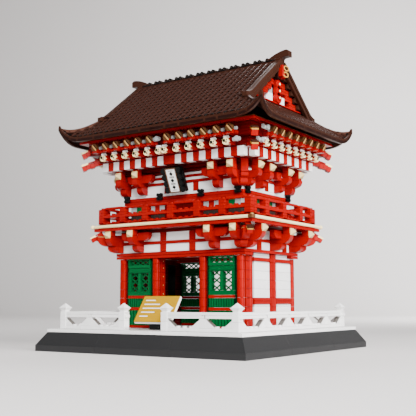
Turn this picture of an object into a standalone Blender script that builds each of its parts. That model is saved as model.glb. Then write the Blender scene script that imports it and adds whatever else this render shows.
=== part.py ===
"""A two-storey gate pagoda made of toy bricks, built at the toy's own size.

Metres, +Z up. The origin is the centre of the plinth's underside. The front faces -Y.
Sizes follow the toy's grid: studs 8 mm apart, plates 3.2 mm and bricks 9.6 mm high.
"""

import math

import bmesh
import bpy
from mathutils import Matrix, Vector

STUD = 0.008
GAP = 0.0003
OVERLAP = 0.0004
ROUND_SIDES = 20
TIP_POINT = 0.0004

# Plinth and floor
PLINTH_HALF = 0.136
PLINTH_FOOT_TOP = 0.0068
PLINTH_TOP = 0.0202
PLINTH_SLOPE = 0.009
FLOOR_HALF = 0.1272
FLOOR_TOP = 0.0240

# Fence on the plinth
FENCE_OUT = 0.1172
FENCE_POST = STUD
FENCE_THICK = 0.0064
FENCE_BASE_TOP = 0.0278
FENCE_RAIL_LOW = 0.0368
FENCE_RAIL_TOP = 0.0430
FENCE_POST_TOP = 0.0438
FINIAL_WIDE_Z = 0.0472
FINIAL_TOP = 0.0520
FINIAL_RADIUS = 0.0064
GATE_HALF = 0.024
SIDE_FENCE_BAYS = 5

# Columns, as rows of places along X on the front and back lines
COLUMN_X = (-0.080, -0.032, 0.032, 0.080)
COLUMN_LINE = 0.054
COLUMN_RADIUS = 0.004
STACK_LINE = 0.046
CORNER_COLUMN_LINE = 0.038
COLUMN_TOP = 0.1016

# Lattice screens in the outer bays
SCREEN_FACE = 0.0555
SCREEN_BACK = 0.0475
SCREEN_X = (0.040, 0.072)
SCREEN_WING_X = (0.0363, 0.0757)
SCREEN_WING_OUT = (0.0500, 0.0524)
SCREEN_WINDOWS_X = ((0.0425, 0.0545), (0.0575, 0.0695))
SCREEN_WINDOW_Z = (0.0654, 0.0852)

# Side walls of the hall
SIDE_WALL_X = (0.074, 0.082)
SIDE_WALL_Y = (-0.0337, 0.0497)
SIDE_WALL_TOP = 0.1050
SIDE_POST_Y = (0.002, 0.014)
SIDE_RAIL_Y = (-0.030, 0.0497)
SIDE_RAIL_Z = ((0.0508, 0.0574), (0.0965, 0.1005))
SIDE_TRIM_X = 0.0845

# Lintel and frieze
LINTEL_X = 0.088
LINTEL_Y = 0.058
LINTEL_WIDTH = 0.016
LINTEL_Z = (0.1019, 0.1086)
LINTEL_SIDE_LOW = 0.1053
WALL_X = 0.0805
WALL_Y = 0.050
WALL_THICK = STUD
FRIEZE_X = 0.0815
FRIEZE_Y = 0.056
FRIEZE_Z = (0.1089, 0.1334)
FRIEZE_RAIL_Z = (0.1176, 0.1210)
RAIL_PROUD = 0.0016

# Lower brackets
LOWER_FRONT_ARMS = (-0.0846, -0.0521, 0.0521, 0.0846)
LOWER_SIDE_ARM_FRONT = -0.052
LOWER_SIDE_ARM_MIDDLE = 0.008
LOWER_SIDE_ARM_BACK = 0.052
SIDE_RAIL_END = 0.0443
LOWER_ARM_BASE = 0.1092
LOWER_FRONT_TIERS = ((0.0120, 0.1165), (0.0210, 0.1275))
LOWER_SIDE_TIERS = ((0.0155, 0.1165), (0.0260, 0.1275))
LOWER_ARM_TOP = 0.1334
LOWER_TIP_Z = 0.1293
TIP_RADIUS = 0.0054
TIP_LENGTH = 0.0052
SPREADER_LENGTH = 0.016
SPREADER_DEPTH = 0.0060
LOWER_SPREADER_Z = (0.1216, 0.1306)

# Balcony
DECK_HALF_X = 0.1075
DECK_HALF_Y = 0.0755
DECK_Z = (0.1337, 0.1374)
KERB_HALF_X = 0.104
KERB_HALF_Y = 0.072
KERB_TOP = 0.1425
ROD_RADIUS = 0.0017
ROD_Z = 0.1392
ROD_FRONT = (0.1021, 0.0768)
ROD_SIDE = (0.108, 0.066)
KNOB_RADIUS = 0.0030
RAILING_POST_TOP = 0.1600
RAILING_FOOT = 0.0016
RAILING_MID_Z = (0.1495, 0.1530)
RAILING_BAR_Z = 0.1608
RAILING_BAR_RADIUS = 0.0016
RAILING_FRONT_POSTS = (-0.068, -0.0355, 0.0, 0.0355, 0.068)
RAILING_SIDE_POSTS = (-0.038, 0.0, 0.038)

# Upper storey
UPPER_BASE_Z = (0.1428, 0.1720)
UPPER_BEAM_LOW = 0.1648
UPPER_BEAM_PROUD = 0.0016
UPPER_BASE_INSET = 0.004
UPPER_WALL_Z = (0.1723, 0.1967)
UPPER_RAIL_Z = (0.1850, 0.1880)
UPPER_FRONT_ARMS = (-0.0766, -0.0522, 0.0522, 0.0766)
UPPER_SIDE_ARMS = (-0.0449, -0.0205, 0.0205, 0.0449)
UPPER_ARM_BASE = 0.1750
UPPER_ARM_TIERS = ((0.0105, 0.1830), (0.0195, 0.1915))
UPPER_ARM_TOP = 0.2032
UPPER_TIP_Z = 0.1973
UPPER_SPREADER_Z = (0.1877, 0.1968)
CORNER_STACK_OUT = 0.0082
CORNER_STACK_Z = (0.1840, 0.2032)

# Striped cornice
CORNICE_X = 0.1053
CORNICE_Y = 0.0734
CORNICE_Z = (0.2035, 0.2135)
CORNICE_NOTCH = 0.0085
COURSES = ((0.1970, 0.0030), (0.2002, 0.0062))

# Two tiers of rafters under the roof
LOWER_RAFTER_Z = (0.2138, 0.2222)
LOWER_RAFTER_CORE = (0.104, 0.0745)
LOWER_RAFTER_TIP = (0.1165, 0.0893)
LOWER_RAFTER_X = (0.004, 0.020, 0.036, 0.052, 0.068, 0.084)
UPPER_RAFTER_Z = (0.2225, 0.2357)
UPPER_RAFTER_CORE = (0.112, 0.0820)
UPPER_RAFTER_TIP = (0.1261, 0.0958)
UPPER_RAFTER_X = (0.012, 0.028, 0.044, 0.060, 0.076, 0.092)
RAFTER_SIDE_Y = (0.008, 0.024, 0.040, 0.056)
RAFTER_WIDTH = STUD

# Eave board and roof
EAVE_X = 0.1194
EAVE_Y = 0.0898
EAVE_Z = (0.2360, 0.2400)
ROOF_RIM_Z = 0.2412
ROOF_PITCH = 0.80
ROOF_THICK = 0.0052
RIM_X = 0.1360
RIM_Y = 0.1040
TIP_X = 0.1382
TIP_Y = 0.1059
VERGE_X = 0.1025
VERGE_Y = 0.0739
CORNER_LIFT = 0.0162
LIFT_POWER = 2.8
RIDGE_HALF_Y = 0.0060
RIDGE_Z = (0.3180, 0.3245)
RIDGE_HALF_X = 0.1020
SKIRT_TOP_X = 0.0935
SKIRT_TOP_Z = 0.2722

# Gables
GABLE_X = (0.0850, 0.0930)
BARGE_X = (0.0926, 0.1022)
BARGE_DEPTH = 0.0100
BARGE_LOW = 0.2745
GABLE_LOW = 0.2403

# Finials at the ends of the ridge
HORN_REACH = 0.1135
HORN_TOP = 0.3318
HORN_HALF_Y = 0.0040

# Name board on the front and sign board on the floor
NAME_BOARD_SIZE = (0.0280, 0.0070, 0.0290)
NAME_BOARD_AT = (0.0, -0.0638, 0.1872)
NAME_BOARD_LEAN = math.radians(24)
HANGER = ((-0.004, 0.004), (0.0480, 0.0630), (0.1900, 0.1940))
SIGN_SIZE = (0.0480, 0.0330, 0.0040)
SIGN_AT = (0.0, -0.0916, 0.0450)
SIGN_TILT = math.radians(55.6)
SIGN_STAND = ((-0.008, 0.008), (0.0885, 0.0960), (FLOOR_TOP + GAP, 0.0400))

COLOURS = {
    "plinth": (0.045, 0.045, 0.048),
    "white": (0.80, 0.79, 0.77),
    "red": (0.55, 0.004, 0.004),
    "dark_red": (0.22, 0.004, 0.004),
    "green": (0.004, 0.13, 0.035),
    "cream": (0.90, 0.78, 0.50),
    "brown": (0.070, 0.025, 0.016),
    "dark_brown": (0.030, 0.012, 0.009),
    "gold": (0.55, 0.40, 0.06),
    "black": (0.010, 0.008, 0.008),
}

# Each side maps (along, out, up) to world X, Y and Z
SIDES = {
    "front": Matrix(((1, 0, 0), (0, -1, 0), (0, 0, 1))).to_4x4(),
    "back": Matrix(((1, 0, 0), (0, 1, 0), (0, 0, 1))).to_4x4(),
    "right": Matrix(((0, 1, 0), (1, 0, 0), (0, 0, 1))).to_4x4(),
    "left": Matrix(((0, -1, 0), (1, 0, 0), (0, 0, 1))).to_4x4(),
}


def clear_scene():
    for obj in list(bpy.data.objects):
        bpy.data.objects.remove(obj, do_unlink=True)


def new_collection(name, hidden=False):
    collection = bpy.data.collections.new(name)
    bpy.context.scene.collection.children.link(collection)
    collection.hide_render = hidden
    return collection


def new_material(name):
    material = bpy.data.materials.new(name)
    material.use_nodes = True
    shader = material.node_tree.nodes["Principled BSDF"]
    shader.inputs["Base Color"].default_value = (*COLOURS[name], 1)
    shader.inputs["Roughness"].default_value = 0.25
    shader.inputs["Metallic"].default_value = 0.0
    return material


def helper(mesh):
    """A hidden solid, for a Boolean to join or to cut with."""
    obj = bpy.data.objects.new("helper", mesh)
    HELPERS.objects.link(obj)
    obj.hide_render = True
    obj.display_type = "WIRE"
    return obj


def solid(bm, side="back", turn=None):
    """The bmesh as a helper, first turned in its own axes and then laid on one side of the building."""
    if turn is not None:
        bmesh.ops.transform(bm, matrix=turn, verts=bm.verts)
    bmesh.ops.transform(bm, matrix=SIDES[side], verts=bm.verts)
    bmesh.ops.recalc_face_normals(bm, faces=bm.faces)
    mesh = bpy.data.meshes.new("solid")
    bm.to_mesh(mesh)
    bm.free()
    return helper(mesh)


def block(along, out, up, side="back"):
    """A box between three pairs of bounds."""
    bounds = [sorted(pair) for pair in (along, out, up)]
    size = [high - low for low, high in bounds]
    centre = [(low + high) / 2 for low, high in bounds]
    bm = bmesh.new()
    bmesh.ops.create_cube(bm, size=1, matrix=Matrix.Translation(centre) @ Matrix.Diagonal((*size, 1)))
    return solid(bm, side)


def slab(half_x, half_y, up):
    return block((-half_x, half_x), (-half_y, half_y), up)


def frustum(low_half, high_half, up):
    """A four-sided block with sloping sides. Each half is a pair along X and Y."""
    bm = bmesh.new()
    matrix = Matrix.Translation((0, 0, sum(up) / 2)) @ Matrix.Diagonal((2, 2, up[1] - up[0], 1))
    bmesh.ops.create_cube(bm, size=1, matrix=matrix)
    for vert in bm.verts:
        half = high_half if vert.co.z > sum(up) / 2 else low_half
        vert.co.x *= half[0]
        vert.co.y *= half[1]
    return solid(bm)


def cone(centre, axis, low_radius, high_radius, length, sides=ROUND_SIDES, spin=0.0, side="back"):
    """A cone or cylinder from the centre of its low end along an axis."""
    bm = bmesh.new()
    turn = Vector(axis).to_track_quat("Z", "Y").to_matrix().to_4x4()
    matrix = Matrix.Translation(centre) @ turn @ Matrix.Rotation(spin, 4, "Z")
    bmesh.ops.create_cone(
        bm,
        cap_ends=True,
        segments=sides,
        radius1=low_radius,
        radius2=high_radius,
        depth=length,
        matrix=matrix @ Matrix.Translation((0, 0, length / 2)),
    )
    return solid(bm, side)


def sheet(points, width, side="back", place=None):
    """A flat outline of (out, up) points, extruded to its width along the wall and moved by a matrix."""
    curve = bpy.data.curves.new("outline", "CURVE")
    curve.dimensions = "2D"
    curve.fill_mode = "BOTH"
    curve.extrude = width / 2
    spline = curve.splines.new("POLY")
    spline.points.add(len(points) - 1)
    spline.use_cyclic_u = True
    for point, (out, up) in zip(spline.points, points):
        point.co = (out, up, 0, 1)
    obj = bpy.data.objects.new("outline", curve)
    HELPERS.objects.link(obj)
    evaluated = obj.evaluated_get(bpy.context.evaluated_depsgraph_get())
    mesh = bpy.data.meshes.new_from_object(evaluated)
    bpy.data.objects.remove(obj)
    bm = bmesh.new()
    bm.from_mesh(mesh)
    bmesh.ops.remove_doubles(bm, verts=bm.verts, dist=0.00001)
    # The outline's (x, y, depth) become (along = depth, out = x, up = y).
    stand = Matrix(((0, 0, 1), (1, 0, 0), (0, 1, 0))).to_4x4()
    return solid(bm, side, stand if place is None else place @ stand)


def keep(name, material, obj):
    """Turns a helper into a node of the model."""
    HELPERS.objects.unlink(obj)
    PARTS.objects.link(obj)
    obj.name = name
    obj.hide_render = False
    obj.display_type = "TEXTURED"
    obj.data.materials.clear()
    obj.data.materials.append(MATERIALS[material])
    obj.data.shade_smooth()
    obj.data.set_sharp_from_angle(angle=math.radians(30))
    return obj


def boolean(obj, operation, others):
    group = bpy.data.collections.new(obj.name + "_" + operation.lower())
    HELPERS.children.link(group)
    group.hide_render = True
    for other in others:
        HELPERS.objects.unlink(other)
        group.objects.link(other)
    modifier = obj.modifiers.new(operation.title(), "BOOLEAN")
    modifier.operation = operation
    modifier.operand_type = "COLLECTION"
    modifier.collection = group
    modifier.solver = "EXACT"


def part(name, material, pieces, cuts=()):
    """A node made of one solid, or of several joined ones, less what is cut out of them."""
    obj = keep(name, material, pieces[0])
    if len(pieces) > 1:
        boolean(obj, "UNION", pieces[1:])
    if cuts:
        boolean(obj, "DIFFERENCE", cuts)
    return obj


def ring(half_x, half_y, width, up):
    """The outer slab of a ring and the cutter for its hollow."""
    beyond = 0.002
    hollow = slab(half_x - width, half_y - width, (up[0] - beyond, up[1] + beyond))
    return slab(half_x, half_y, up), hollow


def build_plinth():
    foot = slab(PLINTH_HALF, PLINTH_HALF, (0, PLINTH_FOOT_TOP))
    low = PLINTH_HALF - 0.0002
    high = PLINTH_HALF - PLINTH_SLOPE
    slope = frustum((low, low), (high, high), (PLINTH_FOOT_TOP - OVERLAP, PLINTH_TOP))
    part("plinth", "plinth", [foot, slope])
    part("floor", "white", [slab(FLOOR_HALF, FLOOR_HALF, (PLINTH_TOP + GAP, FLOOR_TOP))])


def finial(along, out, side):
    """A small four-sided cap with a flared neck, on top of a fence post."""
    quarter = math.radians(45)
    neck = FINIAL_WIDE_Z - FENCE_POST_TOP + OVERLAP
    low = (along, out, FENCE_POST_TOP - OVERLAP)
    high = (along, out, FINIAL_WIDE_Z - OVERLAP)
    cap = FINIAL_RADIUS - OVERLAP / 2
    return [
        cone(low, (0, 0, 1), 0.0032, FINIAL_RADIUS, neck, 4, quarter, side),
        cone(high, (0, 0, 1), cap, 0.0002, FINIAL_TOP - FINIAL_WIDE_Z + OVERLAP, 4, quarter, side),
    ]


def fence_run(name, side, start, end, bays, start_post, end_post):
    """A run between two bounds, with slim posts between its bays and full posts at the stated ends."""
    low = FLOOR_TOP + GAP
    middle = FENCE_OUT - FENCE_POST / 2
    out = (middle - FENCE_THICK / 2, middle + FENCE_THICK / 2)
    pieces = [
        block((start, end), out, (low, FENCE_BASE_TOP), side),
        block((start, end), out, (FENCE_RAIL_LOW, FENCE_RAIL_TOP), side),
    ]
    first = start + FENCE_POST if start_post else start
    last = end - FENCE_POST if end_post else end
    pitch = (last - first + FENCE_POST) / bays
    slim = [first + pitch * n - FENCE_POST / 2 for n in range(1, bays)]
    for centre in slim:
        along = (centre - FENCE_POST / 2, centre + FENCE_POST / 2)
        pieces.append(block(along, out, (low + OVERLAP, FENCE_RAIL_TOP - OVERLAP), side))
    full = [start + FENCE_POST / 2] * start_post + [end - FENCE_POST / 2] * end_post
    for centre in full:
        along = (centre - FENCE_POST / 2, centre + FENCE_POST / 2)
        post_out = (FENCE_OUT - FENCE_POST, FENCE_OUT)
        pieces.append(block(along, post_out, (low, FENCE_POST_TOP), side))
        pieces += finial(centre, middle, side)
    # The side runs have no post of their own, so their end uprights close the last bay.
    if not full:
        for along in ((start, start + OVERLAP * 5), (end - OVERLAP * 5, end)):
            pieces.append(block(along, out, (low + OVERLAP, FENCE_RAIL_TOP - OVERLAP), side))
    part(name, "white", pieces)


def build_fence():
    corner = FENCE_OUT
    gate = GATE_HALF
    for side in ("front", "back"):
        fence_run(f"fence_{side}_left", side, -corner, -gate, 2, True, True)
        fence_run(f"fence_{side}_right", side, gate, corner, 2, True, True)
    inner = FENCE_OUT - FENCE_POST - GAP
    for side in ("left", "right"):
        fence_run(f"fence_{side}", side, -inner, inner, SIDE_FENCE_BAYS, False, False)


def column(name, x, side, extras):
    """A round column with the square stack, or second column, that stands close behind it."""
    low = FLOOR_TOP + GAP
    height = COLUMN_TOP - low
    pieces = [cone((x, COLUMN_LINE, low), (0, 0, 1), COLUMN_RADIUS, COLUMN_RADIUS, height, side=side)]
    if extras:
        half = STUD / 2
        out = (STACK_LINE - half - OVERLAP, STACK_LINE + half + OVERLAP)
        pieces.append(block((x - half + OVERLAP, x + half - OVERLAP), out, (low, COLUMN_TOP), side))
    if extras > 1:
        at = (x, CORNER_COLUMN_LINE, low)
        pieces.append(cone(at, (0, 0, 1), COLUMN_RADIUS, COLUMN_RADIUS, height, side=side))
    part(name, "red", pieces)


def build_columns():
    for side in ("front", "back"):
        for number, x in enumerate(COLUMN_X, 1):
            corner = abs(x) == max(COLUMN_X)
            extras = 1
            if corner:
                extras = 2 if side == "front" else 0
            column(f"column_{side}_{number}", x, side, extras)


def build_screens():
    low = FLOOR_TOP + GAP
    for side in ("front", "back"):
        for name, sign in (("left", -1), ("right", 1)):
            body = [sign * x for x in SCREEN_X]
            wing = [sign * x for x in SCREEN_WING_X]
            pieces = [
                block(body, (SCREEN_BACK, SCREEN_FACE), (low, COLUMN_TOP), side),
                block(wing, SCREEN_WING_OUT, (low, COLUMN_TOP), side),
            ]
            windows = [
                block([sign * x for x in window], (0.040, 0.062), SCREEN_WINDOW_Z, side)
                for window in SCREEN_WINDOWS_X
            ]
            part(f"screen_{side}_{name}", "green", pieces, windows)


def build_side_walls():
    low = FLOOR_TOP + GAP
    for side in ("left", "right"):
        inside = SIDE_WALL_X[1] - OVERLAP * 2
        pieces = [block(SIDE_WALL_Y, SIDE_WALL_X, (low, SIDE_WALL_TOP), side)]
        pieces.append(block(SIDE_POST_Y, (inside, SIDE_TRIM_X), (low, SIDE_WALL_TOP), side))
        for rail in SIDE_RAIL_Z:
            pieces.append(block(SIDE_RAIL_Y, (inside, SIDE_TRIM_X - OVERLAP), rail, side))
        part(f"side_wall_{side}", "white", pieces)


def build_lintel():
    outer, hollow = ring(LINTEL_X, LINTEL_Y, LINTEL_WIDTH, LINTEL_Z)
    # The side beams are one plate thick, so the walls below them stand higher.
    side_cut = (LINTEL_Z[0] - 0.001, LINTEL_SIDE_LOW)
    reach = SIDE_WALL_Y[1] + GAP
    steps = [block((-reach, reach), (0.070, 0.100), side_cut, side) for side in ("left", "right")]
    part("lintel", "red", [outer], [hollow, *steps])
    outer, hollow = ring(FRIEZE_X, FRIEZE_Y, WALL_THICK, FRIEZE_Z)
    part("frieze_wall", "white", [outer], [hollow])


def quarter_round(start, end, steps=5):
    """Points of a quarter circle that leaves its start level and ends upright."""
    points = []
    for step in range(steps + 1):
        angle = math.radians(90) * step / steps
        out = start[0] + (end[0] - start[0]) * math.sin(angle)
        up = start[1] + (end[1] - start[1]) * (1 - math.cos(angle))
        points.append((out, up))
    return points


def arm_outline(wall, base, tiers, top, back):
    """The side view of a bracket arm: quarter rounds that step outwards as they rise."""
    points = [(wall - back, base)]
    at_out, at_up = wall + tiers[0][0] * 0.35, base
    for reach, up in tiers:
        points += quarter_round((at_out, at_up), (wall + reach, up))
        at_out, at_up = wall + reach + 0.0004, up + 0.0004
    points[-1] = (points[-1][0], top)
    points.append((wall - back, top))
    return points


def arm(side, along, wall, base, tiers, top, tip_z):
    """A bracket arm, one stud wide, with a pyramid on its end."""
    outline = arm_outline(wall, base, tiers, top, back=0.003)
    sunk = 0.001
    centre = (along, wall + tiers[-1][0] - sunk, tip_z)
    quarter = math.radians(45)
    return [
        sheet(outline, STUD, side, Matrix.Translation((along, 0, 0))),
        cone(centre, (0, 1, 0), TIP_RADIUS, TIP_POINT, TIP_LENGTH + sunk, 4, quarter, side),
    ]


def spreader(side, along, wall, reach, up):
    """The block that lies across a bracket arm, behind its first step."""
    front = wall + reach - OVERLAP
    bounds = (along - STUD / 2 - SPREADER_LENGTH, along + STUD / 2 + SPREADER_LENGTH)
    return block(bounds, (front - SPREADER_DEPTH, front), up, side)


def diagonal(side, sign, corner, base, tiers, top, reach):
    """The arm that leaves a corner of the building at 45 degrees."""
    outline = [(out * reach, up) for out, up in arm_outline(0, base, tiers, top, back=0.003)]
    place = Matrix.Translation((sign * corner[0], corner[1], 0))
    turn = Matrix.Rotation(math.radians(-45 * sign), 4, "Z")
    return sheet(outline, STUD, side, place @ turn)


def tail(side, sign, start, end, size):
    """A beam that slopes down and out from a corner, between two (x, y, z) points."""
    low = Vector((sign * start[0], start[1], start[2]))
    high = Vector((sign * end[0], end[1], end[2]))
    run = high - low
    bm = bmesh.new()
    turn = run.to_track_quat("Y", "Z").to_matrix().to_4x4()
    place = Matrix.Translation((low + high) / 2) @ turn
    bmesh.ops.create_cube(bm, size=1, matrix=place @ Matrix.Diagonal((size, run.length, size, 1)))
    return solid(bm, side)


LOWER_TAIL = ((0.0970, 0.0685, 0.1320), (0.1075, 0.0790, 0.1230), 0.0050)


def lower_arms(side, alongs):
    across = side in ("left", "right")
    wall = FRIEZE_X if across else FRIEZE_Y
    tiers = LOWER_SIDE_TIERS if across else LOWER_FRONT_TIERS
    pieces = []
    for along in alongs:
        pieces += arm(side, along, wall, LOWER_ARM_BASE, tiers, LOWER_ARM_TOP, LOWER_TIP_Z)
    return pieces


def lower_bracket_cuts():
    """The wall behind the arms and the deck over them."""
    below, above, beyond = 0.100, 0.150, 0.2
    return [
        slab(FRIEZE_X + GAP, FRIEZE_Y + GAP, (below, LOWER_ARM_TOP + GAP)),
        slab(beyond, beyond, (LOWER_ARM_TOP, above)),
    ]


def build_lower_brackets():
    rail = (-FRIEZE_X - RAIL_PROUD, FRIEZE_X + RAIL_PROUD)
    corner = (FRIEZE_X, FRIEZE_Y)
    for side, corner_arm in (("front", LOWER_SIDE_ARM_FRONT), ("back", LOWER_SIDE_ARM_BACK)):
        pieces = [block(rail, (FRIEZE_Y - 0.002, FRIEZE_Y + RAIL_PROUD), FRIEZE_RAIL_Z, side)]
        pieces += lower_arms(side, LOWER_FRONT_ARMS)
        for along in LOWER_FRONT_ARMS[1:3]:
            reach = LOWER_FRONT_TIERS[0][0]
            pieces.append(spreader(side, along, FRIEZE_Y, reach, LOWER_SPREADER_Z))
        pieces += lower_arms("left", [corner_arm])
        pieces += lower_arms("right", [corner_arm])
        for sign in (-1, 1):
            pieces.append(
                diagonal(side, sign, corner, LOWER_ARM_BASE, LOWER_FRONT_TIERS, LOWER_ARM_TOP, 1.25)
            )
            pieces.append(tail(side, sign, *LOWER_TAIL))
        part(f"lower_brackets_{side}", "red", pieces, lower_bracket_cuts())
    rail = (-SIDE_RAIL_END, SIDE_RAIL_END)
    for side in ("left", "right"):
        pieces = [block(rail, (FRIEZE_X - 0.002, FRIEZE_X + RAIL_PROUD), FRIEZE_RAIL_Z, side)]
        pieces += lower_arms(side, [LOWER_SIDE_ARM_MIDDLE])
        reach = LOWER_SIDE_TIERS[0][0]
        pieces.append(spreader(side, LOWER_SIDE_ARM_MIDDLE, FRIEZE_X, reach, LOWER_SPREADER_Z))
        part(f"lower_brackets_{side}", "red", pieces, lower_bracket_cuts())


def build_balcony():
    deck = slab(DECK_HALF_X, DECK_HALF_Y, DECK_Z)
    kerb = slab(KERB_HALF_X, KERB_HALF_Y, (DECK_Z[0] + OVERLAP, KERB_TOP))
    part("balcony_deck", "red", [deck, kerb])
    low = KERB_TOP + GAP
    side_half = KERB_HALF_Y - STUD - GAP
    for side, half, out, posts, end_width in (
        ("front", KERB_HALF_X, KERB_HALF_Y, RAILING_FRONT_POSTS, STUD),
        ("back", KERB_HALF_X, KERB_HALF_Y, RAILING_FRONT_POSTS, STUD),
        ("left", side_half, KERB_HALF_X, RAILING_SIDE_POSTS, STUD / 2),
        ("right", side_half, KERB_HALF_X, RAILING_SIDE_POSTS, STUD / 2),
    ):
        pieces = [
            block((-half, half), (out - STUD, out), (low, low + RAILING_FOOT), side),
            block((-half, half), (out - STUD + OVERLAP, out - OVERLAP), RAILING_MID_Z, side),
        ]
        bar = (OVERLAP - half, out - STUD / 2, RAILING_BAR_Z)
        length = 2 * (half - OVERLAP)
        pieces.append(cone(bar, (1, 0, 0), RAILING_BAR_RADIUS, RAILING_BAR_RADIUS, length, 8, side=side))
        uprights = [(centre - STUD / 2, centre + STUD / 2) for centre in posts]
        uprights += [(-half, end_width - half), (half - end_width, half)]
        for along in uprights:
            pieces.append(block(along, (out - STUD, out), (low + OVERLAP, RAILING_POST_TOP), side))
        part(f"railing_{side}", "red", pieces)


def build_rods():
    """The pale rods that run round the balcony's edge, joined by a knob at each corner."""
    pieces = []
    reach = ROD_SIDE[0]
    for side in ("front", "back"):
        start = (-reach, ROD_FRONT[1], ROD_Z)
        pieces.append(cone(start, (1, 0, 0), ROD_RADIUS, ROD_RADIUS, 2 * reach, 10, side=side))
    reach = ROD_FRONT[1]
    for side in ("left", "right"):
        start = (-reach, ROD_SIDE[0] + 0.0007, ROD_Z)
        pieces.append(cone(start, (1, 0, 0), ROD_RADIUS, ROD_RADIUS, 2 * reach, 10, side=side))
    for x in (-ROD_SIDE[0], ROD_SIDE[0]):
        for y in (-ROD_FRONT[1], ROD_FRONT[1]):
            low = (x, y, ROD_Z - KNOB_RADIUS * 0.5)
            pieces.append(cone(low, (0, 0, 1), KNOB_RADIUS, KNOB_RADIUS, KNOB_RADIUS * 1.6, 12))
    room, below = 0.0002, 0.120
    cuts = [
        slab(DECK_HALF_X + GAP, DECK_HALF_Y + GAP, (below, DECK_Z[1] + room)),
        slab(KERB_HALF_X + GAP, KERB_HALF_Y + GAP, (below, KERB_TOP + STUD)),
    ]
    part("balcony_rods", "cream", pieces, cuts)


def build_upper_storey():
    inset = UPPER_BASE_INSET
    outer, hollow = ring(WALL_X - inset, WALL_Y - inset, WALL_THICK, UPPER_BASE_Z)
    proud = UPPER_BEAM_PROUD
    beam = slab(WALL_X + proud, WALL_Y + proud, (UPPER_BEAM_LOW, UPPER_BASE_Z[1]))
    part("upper_base_wall", "dark_red", [outer, beam], [hollow])
    outer, hollow = ring(WALL_X, WALL_Y, WALL_THICK, UPPER_WALL_Z)
    part("upper_wall", "white", [outer], [hollow])


def upper_arms(side, alongs, wall):
    pieces = []
    for along in alongs:
        pieces += arm(side, along, wall, UPPER_ARM_BASE, UPPER_ARM_TIERS, UPPER_ARM_TOP, UPPER_TIP_Z)
    return pieces


def build_upper_brackets():
    proud = RAIL_PROUD
    reach = UPPER_ARM_TIERS[0][0]
    for side in ("front", "back"):
        rail = (-WALL_X - proud, WALL_X + proud)
        pieces = [block(rail, (WALL_Y - OVERLAP, WALL_Y + proud), UPPER_RAIL_Z, side)]
        pieces += upper_arms(side, UPPER_FRONT_ARMS, WALL_Y)
        for along in UPPER_FRONT_ARMS[1:3]:
            pieces.append(spreader(side, along, WALL_Y, reach, UPPER_SPREADER_Z))
        for sign in (-1, 1):
            along = (sign * (WALL_X - OVERLAP), sign * (WALL_X + CORNER_STACK_OUT))
            out = (WALL_Y + GAP * 2, WALL_Y + CORNER_STACK_OUT)
            pieces.append(block(along, out, CORNER_STACK_Z, side))
        finish_upper_bracket(f"upper_brackets_{side}", pieces)
    for side in ("left", "right"):
        half = UPPER_SIDE_ARMS[-1]
        pieces = [block((-half, half), (WALL_X - 0.002, WALL_X + proud), UPPER_RAIL_Z, side)]
        pieces += upper_arms(side, UPPER_SIDE_ARMS, WALL_X)
        finish_upper_bracket(f"upper_brackets_{side}", pieces)


def finish_upper_bracket(name, pieces):
    """Cuts the arms clear of the wall and of the stepped courses over it."""
    below, above = UPPER_BASE_Z[1] - STUD, UPPER_ARM_TOP + STUD
    cuts = [slab(WALL_X + GAP, WALL_Y + GAP, (below, above))]
    for low, reach in COURSES:
        cuts.append(slab(WALL_X + reach + GAP, WALL_Y + reach + GAP, (low - GAP, above)))
    part(name, "red", pieces, cuts)


def build_cornice():
    """Two stepped courses that carry the striped band, whose corners are notched."""
    pieces = [slab(CORNICE_X, CORNICE_Y, CORNICE_Z)]
    for low, reach in COURSES:
        pieces.append(slab(WALL_X + reach, WALL_Y + reach, (low, CORNICE_Z[1] - 0.002)))
    cuts = []
    for x in (-1, 1):
        for y in (-1, 1):
            along = (x * (CORNICE_X - CORNICE_NOTCH), x * (CORNICE_X + 0.01))
            out = (y * (CORNICE_Y - CORNICE_NOTCH), y * (CORNICE_Y + 0.01))
            cuts.append(block(along, out, (CORNICE_Z[0] - 0.001, CORNICE_Z[1] + 0.001)))
    part("striped_cornice", "white", pieces, cuts)


LOWER_CORNER_TAIL = ((0.1000, 0.0680, 0.2190), (0.1185, 0.0865, 0.2065), 0.0055)
UPPER_CORNER_TAIL = ((0.1060, 0.0740, 0.2330), (0.1190, 0.0870, 0.2225), 0.0055)


def rafter_tier(up, core, tip, front_places, corner_tail):
    """A slab with a row of beam ends along each side and one sloping beam at each corner."""
    pieces = [slab(core[0], core[1], up)]
    half = RAFTER_WIDTH / 2 - 0.0004
    beam_up = (up[0] + OVERLAP, min(up[1] - OVERLAP, up[0] + STUD))
    for sign in (-1, 1):
        for side in ("front", "back"):
            for place in front_places:
                along = (sign * place - half, sign * place + half)
                pieces.append(block(along, (core[1] - 0.002, tip[1]), beam_up, side))
            pieces.append(tail(side, sign, *corner_tail))
        for side in ("left", "right"):
            for place in RAFTER_SIDE_Y:
                along = (sign * place - half, sign * place + half)
                pieces.append(block(along, (core[0] - 0.002, tip[0]), beam_up, side))
    return pieces


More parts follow.
